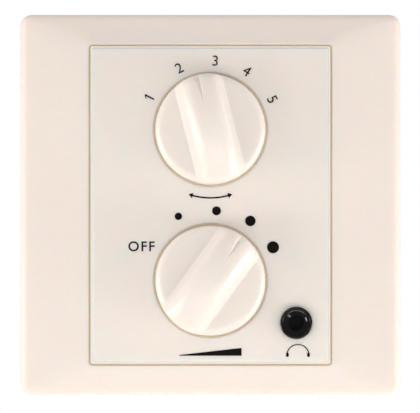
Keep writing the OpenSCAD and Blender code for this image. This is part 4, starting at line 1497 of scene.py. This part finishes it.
@dataclass
class HeadphoneSocket:
    """Black round socket: a collar ring with a rounded lip on the dished bush."""

    spot: Point2 = SOCKET_SPOT
    panel_z: float = PANEL_FRONT
    collar_r: float = 3.65
    bush_r: float = 3.03
    proud: float = 1.2
    round_r: float = 0.35
    round_steps: int = 6
    inner_r: float = 0.2
    inner_steps: int = 4
    sides: int = 96

    def collar_profile(self) -> list[Point2]:
        """Gives the collar's section, from the panel up over its rounded lip.

        Returns:
            Radius and height of each ring.
        """
        low, high = self.panel_z, self.panel_z + self.proud
        profile = [(self.bush_r, low), (self.collar_r, low)]
        for step in range(self.round_steps + 1):
            turn = math.pi / 2 * step / self.round_steps
            radius = self.collar_r - self.round_r + self.round_r * math.cos(turn)
            profile.append((radius, high - self.round_r + self.round_r * math.sin(turn)))
        for step in range(self.inner_steps + 1):
            turn = math.pi / 2 * (1 + step / self.inner_steps)
            radius = self.bush_r + self.inner_r + self.inner_r * math.cos(turn)
            profile.append((radius, high - self.inner_r + self.inner_r * math.sin(turn)))
        return profile

    def assemble(self) -> None:
        """Turns the collar and puts it in place of its solid."""
        collar = turned("socket_collar", self.collar_profile(), self.sides, closed=True)
        collar.data.transform(Matrix.Translation((*self.spot, 0.0)))
        mount(collar, JACK_BLACK, Slot.SOCKET, BASE_BODY, "jack_collar")


@dataclass
class PrintedMarks:
    """Dark print on the panel: position numbers, OFF, growing dots and plain symbols."""

    panel_z: float = PANEL_FRONT
    ink_low: float = 0.01
    ink_high: float = 0.025
    selector: Point2 = (0.0, Switch.SELECTOR.value)
    volume: Point2 = (0.0, Switch.VOLUME.value)
    cap_share: float = 0.7
    curve_steps: int = 6
    number_r: float = 15.5
    number_turns: tuple[float, ...] = (-62.0, -27.0, 4.0, 32.0, 64.0)
    number_cap: float = 2.3
    one_flag: tuple[Point2, ...] = (
        (0.1, 1.15), (-0.12, 1.15), (-0.66, 0.7), (-0.66, 0.42), (-0.1, 0.84)
    )
    off_spot: Point2 = (-15.5, -9.3)
    off_cap: float = 2.25
    off_bold: float = 0.03
    off_spacing: float = 1.18
    dots: tuple[Point3, ...] = (
        (-26.5, 16.15, 1.65), (5.0, 15.75, 2.0), (33.8, 16.15, 2.36), (62.0, 15.95, 2.7)
    )
    dot_sides: int = 40
    turn_r: float = 15.4
    turn_line: float = 0.34
    turn_reach: float = 15.0
    turn_steps: int = 16
    arrow_long: float = 3.6
    arrow_half: float = 0.62
    wedge_half: float = 7.0
    wedge_low: float = -33.9
    wedge_ends: Point2 = (0.16, 1.75)
    phones_spot: Point2 = (19.7, -33.65)
    band_r: float = 2.45
    band_line: float = 0.24
    band_reach: float = 86.0
    band_steps: int = 24
    band_squash: float = 0.92
    pad_half: Point2 = (0.3, 0.48)
    pad_r: float = 0.28
    pad_steps: int = 5
    pad_shift: Point2 = (-0.08, -0.05)

    def flat(self, name: str, outline: Sequence[Point2]) -> bpy.types.Object:
        """Models one flat patch of ink on the panel."""
        return prism(name, outline, self.panel_z - self.ink_low, self.panel_z + self.ink_high)

    def words(
        self, text: str, spot: Point2, cap: float, turn: float, bold: float, spacing: float = 1.0
    ) -> bpy.types.Object:
        """Sets a short generic mark in the built-in typeface.

        Args:
            text: The figure or word.
            spot: Middle of the mark.
            cap: Height of its capitals.
            turn: Angle clockwise from upright, in degrees.
            bold: How much the strokes are thickened.
            spacing: Letter spacing, 1 as the typeface has it.

        Returns:
            The mark, still lying on its back in millimetres.
        """
        bpy.ops.object.select_all(action="DESELECT")
        bpy.ops.object.text_add()
        mark = bpy.context.object
        mark.data.body = text
        mark.data.size = cap / self.cap_share
        mark.data.offset = bold
        mark.data.space_character = spacing
        mark.data.extrude = (self.ink_low + self.ink_high) / 2
        mark.data.resolution_u = self.curve_steps
        bpy.ops.object.convert(target="MESH")
        mark = bpy.context.object
        corners = [v.co.copy() for v in mark.data.vertices]
        middle = [(min(c[i] for c in corners) + max(c[i] for c in corners)) / 2 for i in (0, 1)]
        tall = max(c.y for c in corners) - min(c.y for c in corners)
        size = Matrix.Diagonal((cap / tall, cap / tall, 1.0, 1.0))
        high = self.panel_z + (self.ink_high - self.ink_low) / 2
        place = Matrix.Translation((*spot, high)) @ Matrix.Rotation(-math.radians(turn), 4, "Z")
        mark.data.transform(place @ size @ Matrix.Translation((-middle[0], -middle[1], 0.0)))
        return mark

    def numbers(self) -> list[bpy.types.Object]:
        """Sets the figures 1 to 5 round the selector, each turned along the arc.

        Returns:
            The figures, the first followed by its flag.
        """
        marks = []
        for index, turn in enumerate(self.number_turns):
            spot = on_arc(self.selector, self.number_r, turn)
            marks.append(self.words(str(index + 1), spot, self.number_cap, turn, 0.0))
            if index == 0:
                marks.append(self.flag(spot, turn))
        return marks

    def flag(self, spot: Point2, turn: float) -> bpy.types.Object:
        """Models the small flag at the top of the figure 1, which the typeface leaves off.

        Args:
            spot: Middle of the figure.
            turn: Angle clockwise from upright, in degrees.

        Returns:
            The flag.
        """
        sin, cos = math.sin(math.radians(turn)), math.cos(math.radians(turn))
        outline = [(spot[0] + x * cos + y * sin, spot[1] - x * sin + y * cos) for x, y in self.one_flag]
        return self.flat("figure_flag", outline)

    def level_dots(self) -> list[bpy.types.Object]:
        """Models the four growing dots round the volume knob.

        Returns:
            The dots, from the smallest to the largest.
        """
        marks = []
        for turn, radius, wide in self.dots:
            spot = on_arc(self.volume, radius, turn)
            outline = [(spot[0] + x, spot[1] + y) for x, y in circle(wide / 2, self.dot_sides)]
            marks.append(self.flat("level_dot", outline))
        return marks

    def turn_arrows(self) -> list[bpy.types.Object]:
        """Models a curved line with an arrowhead at each end under the selector.

        Returns:
            The line and its two heads.
        """
        radius, half_line, reach = self.turn_r, self.turn_line / 2, self.turn_reach
        line = [
            *arc(self.selector, radius + half_line, DOWN_DEG - reach, DOWN_DEG + reach, self.turn_steps),
            *arc(self.selector, radius - half_line, DOWN_DEG + reach, DOWN_DEG - reach, self.turn_steps),
        ]
        marks = [self.flat("turn_line", line)]
        for side in (-1, 1):
            start, tip = DOWN_DEG + side * reach, DOWN_DEG + side * (reach + self.arrow_long)
            outline = [
                on_arc(self.selector, radius + self.arrow_half, start),
                on_arc(self.selector, radius, tip),
                on_arc(self.selector, radius - self.arrow_half, start),
            ]
            marks.append(self.flat("turn_arrow", outline))
        return marks

    def level_wedge(self) -> list[bpy.types.Object]:
        """Models a thin wedge that grows to the right under the volume knob.

        Returns:
            The wedge, alone in a list.
        """
        left, right, low = -self.wedge_half, self.wedge_half, self.wedge_low
        small, tall = self.wedge_ends
        outline = [(left, low), (right, low), (right, low + tall), (left, low + small)]
        return [self.flat("level_wedge", outline)]

    def headphones(self) -> list[bpy.types.Object]:
        """Models the headphone sign: a thin band with an ear pad at each end.

        Returns:
            The band and its two pads.
        """
        centre, radius, reach = self.phones_spot, self.band_r, self.band_reach
        band = [
            *arc(centre, radius + self.band_line / 2, -reach, reach, self.band_steps),
            *arc(centre, radius - self.band_line / 2, reach, -reach, self.band_steps),
        ]
        squashed = [(x, centre[1] + self.band_squash * (y - centre[1])) for x, y in band]
        marks = [self.flat("band", squashed)]
        pad = round_rect(*self.pad_half, self.pad_r, self.pad_steps)
        for side in (-1, 1):
            middle = (centre[0] + side * (radius + self.pad_shift[0]), centre[1] + self.pad_shift[1])
            marks.append(self.flat("ear_pad", [(middle[0] + x, middle[1] + y) for x, y in pad]))
        return marks

    def assemble(self) -> None:
        """Prints every mark on the panel."""
        groups = {
            "printed_numbers": self.numbers(),
            "printed_off": [
                self.words("OFF", self.off_spot, self.off_cap, 0.0, self.off_bold, self.off_spacing)
            ],
            "printed_dots": self.level_dots(),
            "printed_turn_sign": self.turn_arrows(),
            "printed_level_sign": self.level_wedge(),
            "printed_headphone_sign": self.headphones(),
        }
        for name, marks in groups.items():
            mount(join(name, marks), PRINT_BLACK, Slot.SOCKET)


@dataclass
class BoardDetail:
    """Solder joints, masked tracks and legend lines on the board."""

    back_z: float = -4.6
    front_z: float = -3.0
    switch_y: Point2 = (Switch.SELECTOR.value, Switch.VOLUME.value)
    ring_r: float = 8.0
    common_r: float = 4.0
    step_deg: float = 30.0
    positions: int = 5
    socket: Point2 = SOCKET_SPOT
    leaf_off: float = 2.45
    leaf_turns: Point3 = (90.0, 180.0, 270.0)
    lead_x: tuple[float, ...] = (-7.5, -4.5, -1.5, 1.5, 4.5, 7.5)
    lead_y: float = 0.7
    way_pitch: float = 5.0
    ways: int = 8
    clamp_y: float = 30.6
    resistor_x: float = -16.6
    resistor_span: float = 11.0
    resistor_rows: Point2 = (-25.2, -29.8)
    cone: tuple[Point2, ...] = (
        (1.05, -0.02), (1.0, 0.05), (0.8, 0.16), (0.62, 0.42), (0.53, 0.75), (0.44, 1.0), (0.22, 1.1)
    )
    cone_sides: int = 16
    ribbon_steps: int = 2
    track: Point2 = (0.8, 0.05)
    line_ways: tuple[int, int] = (1, 6)
    common_lead: int = 3
    way_leads: tuple[tuple[int, int], ...] = ((0, 0), (7, 5), (6, 4))
    slant_share: float = 0.8
    legend_line: Point2 = (0.22, 0.03)
    block_y: float = 28.0
    block_half: Point2 = (20.6, 4.9)
    block_r: float = 0.4
    resistor_half: Point2 = (4.5, 1.95)
    resistor_r: float = 0.3

    def contacts(self, switch_y: float) -> list[Point2]:
        """Gives the places of one switch's five contact pins.

        Args:
            switch_y: Height of the switch's axis.

        Returns:
            The places.
        """
        middle = (self.positions - 1) / 2
        turns = [DOWN_DEG + (index - middle) * self.step_deg for index in range(self.positions)]
        return [on_arc((0.0, switch_y), self.ring_r, -turn) for turn in turns]

    def back_pins(self) -> list[Point2]:
        """Gives the places of the pins that are soldered on the back.

        Returns:
            The places.
        """
        pins = []
        for y in self.switch_y:
            pins += [*self.contacts(y), (0.0, y - self.common_r)]
        for turn in self.leaf_turns:
            out = math.radians(turn)
            across, up = self.leaf_off * math.cos(out), self.leaf_off * math.sin(out)
            pins.append((self.socket[0] + across, self.socket[1] + up))
        return pins

    def front_pins(self) -> list[Point2]:
        """Gives the places of the pins that are soldered on the front.

        Returns:
            The places.
        """
        pins = [(x, self.lead_y) for x in self.lead_x]
        pins += [(x, self.clamp_y) for x in self.way_places()]
        for y in self.resistor_rows:
            pins += [(self.resistor_x + side * self.resistor_span / 2, y) for side in (-1, 1)]
        return pins

    def way_places(self) -> list[float]:
        """Gives the places of the terminal ways across the board."""
        return [(i - (self.ways - 1) / 2) * self.way_pitch for i in range(self.ways)]

    def joints(self, name: str, pins: Sequence[Point2], face_z: float, out: int) -> None:
        """Models one solder cone and sets a copy on each pin.

        Args:
            name: Name of the group.
            pins: Places of the pins.
            face_z: Height of the board's face.
            out: 1 where the face looks forward, -1 where it looks back.
        """
        rings = [(radius, face_z + out * height) for radius, height in self.cone]
        cone = turned("joint", rings, self.cone_sides, closed=False)
        copies = [copy_at(cone, (x, y, 0.0)) for x, y in pins]
        bpy.data.objects.remove(cone)
        mount(join(name, copies), SOLDER, Slot.PLATED)

    def route(self, start: Point2, stop: Point2) -> list[Point2]:
        """Gives a track that runs straight, then slanting, then straight.

        Args:
            start: Where it begins.
            stop: Where it ends.

        Returns:
            Its four corners.
        """
        across = stop[0] - start[0]
        down = abs(start[1] - stop[1])
        slant = min(abs(across), self.slant_share * down)
        rest = (down - slant) / 2
        way = 1 if stop[1] > start[1] else -1
        return [start, (start[0], start[1] + way * rest), (stop[0], stop[1] - way * rest), stop]

    def ribbon(self, points: Sequence[Point2], width: float, tall: float) -> bpy.types.Object:
        """Models a flat strip with soft sides along a route on the board's back.

        Args:
            points: Corners of the route.
            width: Width of the strip.
            tall: How far it stands off the board.

        Returns:
            The strip, still lying on its back in millimetres.
        """
        curve = bpy.data.curves.new("strip", "CURVE")
        curve.dimensions = "3D"
        curve.bevel_depth = width / 2
        curve.bevel_resolution = self.ribbon_steps
        curve.use_fill_caps = True
        line = curve.splines.new("POLY")
        line.points.add(len(points) - 1)
        for point, (x, y) in zip(line.points, points):
            point.co = (x, y, 0.0, 1.0)
        piece = bpy.data.objects.new("strip", curve)
        bpy.context.scene.collection.objects.link(piece)
        bpy.ops.object.select_all(action="DESELECT")
        piece.select_set(True)
        bpy.context.view_layer.objects.active = piece
        bpy.ops.object.convert(target="MESH")
        piece = bpy.context.object
        flat = Matrix.Diagonal((1.0, 1.0, 2 * tall / width, 1.0))
        piece.data.transform(Matrix.Translation((0.0, 0.0, self.back_z)) @ flat)
        return piece

    def tracks(self) -> list[bpy.types.Object]:
        """Models the tracks that join the terminals, the upper switch and the transformer's leads.

        Returns:
            The tracks.
        """
        ways = self.way_places()
        upper = self.switch_y[0]
        lines = ways[slice(*self.line_ways)]
        runs = [(pin, (x, self.clamp_y)) for pin, x in zip(sorted(self.contacts(upper)), lines)]
        runs.append(((0.0, upper - self.common_r), (self.lead_x[self.common_lead], self.lead_y)))
        for way, lead in self.way_leads:
            runs.append(((ways[way], self.clamp_y), (self.lead_x[lead], self.lead_y)))
        return [self.ribbon(self.route(start, stop), *self.track) for start, stop in runs]

    def legend(self) -> list[bpy.types.Object]:
        """Models the printed outlines round the terminal block and the resistors.

        Returns:
            The outlines.
        """
        block = round_rect(*self.block_half, self.block_r, SMALL_CORNER_STEPS)
        body = round_rect(*self.resistor_half, self.resistor_r, SMALL_CORNER_STEPS)
        lines = [[(x, self.block_y + y) for x, y in block]]
        for row in self.resistor_rows:
            lines.append([(self.resistor_x + x, row + y) for x, y in body])
        return [self.ribbon([*line, line[0]], *self.legend_line) for line in lines]

    def assemble(self) -> None:
        """Adds the joints, the tracks and the legend."""
        self.joints("solder_joints_back", self.back_pins(), self.back_z, -1)
        self.joints("solder_joints_front", self.front_pins(), self.front_z, 1)
        mount(join("board_tracks", self.tracks()), TRACK_GREEN, Slot.BOARD)
        mount(join("board_legend", self.legend()), LEGEND_WHITE, Slot.BOARD)


@dataclass
class FrameParts:
    """The solids that stay as they are and get their finishes."""

    nodes: dict[str, bpy.types.Object]
    crisp_deg: float = 32.0
    weld_mm: float = 0.0005

    def finish_of(self, name: str) -> Finish | None:
        """Gives a solid's finish, or None where a modelled piece stands for it.

        Args:
            name: Name of the solid.

        Returns:
            The finish, or None.
        """
        role, _, part = name.partition("_")
        if role in [switch.role for switch in Switch]:
            return SWITCH_FINISHES.get(part)
        return NODE_FINISHES.get(name)

    def dress(self, node: bpy.types.Object, finish: Finish) -> None:
        """Gives a solid its finish, and smooth shading up to its crisp edges.

        Args:
            node: The solid.
            finish: Its finish.
        """
        node.data.materials.clear()
        node.data.materials.append(finish.material())
        node.data.polygons.foreach_set("use_smooth", [True] * len(node.data.polygons))
        weld = node.modifiers.new("one_skin", "WELD")
        weld.merge_threshold = self.weld_mm * MM
        crisp = node.modifiers.new("crisp_edges", "EDGE_SPLIT")
        crisp.split_angle = math.radians(self.crisp_deg)

    def assemble(self) -> None:
        """Dresses every solid that shows."""
        for name, node in self.nodes.items():
            finish = self.finish_of(name)
            if finish is not None and not node.hide_render:
                self.dress(node, finish)
                LOG.info("%s is finished in %s", name, finish.name)


@dataclass
class SoftLamp:
    """One soft lamp that looks at the plate, its second side turned towards the plate's axis."""

    name: str
    spot: Point3
    size: Point2
    power: float
    tint: Colour = (255, 252, 248)

    def place(self) -> None:
        """Adds the lamp and turns it to the plate's middle."""
        light = bpy.data.lights.new(self.name, "AREA")
        light.shape = "RECTANGLE"
        light.size, light.size_y = self.size
        light.energy = self.power
        light.color = linear(self.tint)[:3]
        lamp = bpy.data.objects.new(self.name, light)
        lamp.location = self.spot
        lamp.visible_camera = False
        away = Vector(self.spot).normalized()
        inward = Vector((0.0, -1.0, 0.0))
        inward = (inward - away * away.dot(inward)).normalized()
        lamp.rotation_euler = Matrix((inward.cross(away), inward, away)).transposed().to_euler()
        bpy.context.scene.collection.objects.link(lamp)


@dataclass
class Studio:
    """Pale floor, soft lamps, even surrounding light and the camera."""

    camera_spot: Point3 = (-0.00009, -0.7, -0.00034)
    lens_mm: float = 263.0
    sensor_mm: float = 36.0
    floor_z: float = -0.40
    floor_side: float = 12.0
    floor_colour: Colour = (240, 238, 234)
    floor_roughness: float = 0.9
    near_clip: float = 0.01
    surround: tuple[float, ...] = (1.0, 0.985, 0.965, 1.0)
    ambient: float = 0.745
    mirrored: float = 0.10
    lamps: tuple[SoftLamp, ...] = (
        SoftLamp("lamp_below", (0.02, -0.587, -0.381), (0.40, 0.44), 0.85),
        SoftLamp("lamp_lower_right", (0.58, -0.20, -0.25), (0.30, 0.28), 1.2),
        SoftLamp("lamp_lower_left", (-0.62, -0.20, -0.12), (0.30, 0.28), 0.85),
        SoftLamp("catch_right", (0.32, -0.42, -0.44), (0.22, 0.11), 0.55),
        SoftLamp("catch_left", (-0.50, -0.42, -0.24), (0.22, 0.11), 0.5),
        SoftLamp("lamp_right_edge", (0.58, 0.05, -0.20), (0.3, 0.3), 0.9),
        SoftLamp("lamp_left_edge", (-0.60, 0.05, -0.10), (0.3, 0.3), 0.6),
        SoftLamp("lamp_under_edge", (0.0, 0.25, -0.36), (0.4, 0.3), 0.5),
    )

    def even_for(
        self, tree: bpy.types.NodeTree, ray: str, strength: float, shade: bpy.types.NodeSocket
    ) -> bpy.types.NodeSocket:
        """Shows an even light to one kind of ray and another shader to all the rest.

        Args:
            tree: Node tree of the material or the world.
            ray: Name of the kind of ray, as the light path gives it.
            strength: Strength of the even light, where 1 is white.
            shade: Shader that the other rays meet.

        Returns:
            The mixed shader.
        """
        path = tree.nodes.new("ShaderNodeLightPath")
        kind = "ShaderNodeBackground" if "World Output" in tree.nodes else "ShaderNodeEmission"
        even = tree.nodes.new(kind)
        even.inputs["Color"].default_value = (1.0, 1.0, 1.0, 1.0)
        even.inputs["Strength"].default_value = strength
        mix = tree.nodes.new("ShaderNodeMixShader")
        tree.links.new(path.outputs[ray], mix.inputs["Fac"])
        tree.links.new(shade, mix.inputs[1])
        tree.links.new(even.outputs[0], mix.inputs[2])
        return mix.outputs["Shader"]

    def white_for_eye(self, tree: bpy.types.NodeTree, shade: bpy.types.NodeSocket) -> bpy.types.NodeSocket:
        """Shows white to the camera, a dim room to glossy faces and a shader to all other light."""
        dim = self.even_for(tree, "Is Glossy Ray", self.mirrored, shade)
        return self.even_for(tree, "Is Camera Ray", 1.0, dim)

    def set_world(self) -> None:
        """Gives even light from all round on a white ground."""
        world = bpy.data.worlds.new("surround")
        bpy.context.scene.world = world
        world.use_nodes = True
        tree = world.node_tree
        glow = tree.nodes["Background"]
        glow.inputs["Color"].default_value = self.surround
        glow.inputs["Strength"].default_value = self.ambient
        surface = tree.nodes["World Output"].inputs["Surface"]
        tree.links.new(self.white_for_eye(tree, glow.outputs[0]), surface)

    def lay_floor(self) -> None:
        """Adds the pale floor, well under the plate."""
        bpy.ops.object.select_all(action="DESELECT")
        bpy.ops.mesh.primitive_plane_add(size=self.floor_side, location=(0.0, 0.0, self.floor_z))
        floor = bpy.context.object
        floor.name = "floor"
        material = bpy.data.materials.new("pale_floor")
        material.use_nodes = True
        tree = material.node_tree
        shader = tree.nodes["Principled BSDF"]
        shader.inputs["Base Color"].default_value = linear(self.floor_colour)
        shader.inputs["Roughness"].default_value = self.floor_roughness
        surface = tree.nodes["Material Output"].inputs["Surface"]
        tree.links.new(self.white_for_eye(tree, shader.outputs[0]), surface)
        floor.data.materials.append(material)

    def set_camera(self) -> None:
        """Looks straight at the plate from far off, as the photograph does."""
        data = bpy.data.cameras.new("camera")
        data.lens = self.lens_mm
        data.sensor_width = self.sensor_mm
        data.sensor_fit = "HORIZONTAL"
        data.clip_start = self.near_clip
        camera = bpy.data.objects.new("camera", data)
        camera.location = self.camera_spot
        camera.rotation_euler = (math.pi / 2, 0.0, 0.0)
        bpy.context.scene.collection.objects.link(camera)
        bpy.context.scene.camera = camera

    def assemble(self) -> None:
        """Sets up the whole studio."""
        bpy.context.scene.view_settings.view_transform = "Standard"
        self.set_world()
        self.lay_floor()
        for lamp in self.lamps:
            lamp.place()
        self.set_camera()


def main() -> None:
    """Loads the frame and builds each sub-assembly."""
    logging.basicConfig(level=logging.INFO, format="%(message)s")
    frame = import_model()
    bpy.ops.object.select_all(action="DESELECT")
    Studio().assemble()
    Bezel().assemble()
    # Painted shade in the gap round the panel
    WindowStrip("window_seal", GAP_SHADE_GOLD, Slot.CARRIER, GAP_SHADE_SECTION).assemble()
    # Painted highlight along the panel's rounded edge
    WindowStrip("panel_bead", HIGHLIGHT_IVORY, Slot.PANEL, HIGHLIGHT_STRIP_SECTION).assemble()
    # Painted shade in the gap round each knob
    for switch in Switch:
        KnobRing(switch).assemble()
    GripKnob(Switch.SELECTOR, pointer_deg=-14.4).assemble()
    GripKnob(Switch.VOLUME, pointer_deg=36.0).assemble()
    HeadphoneSocket().assemble()
    PrintedMarks().assemble()
    BoardDetail().assemble()
    FrameParts(frame["nodes"]).assemble()


if __name__ == "__main__":
    main()
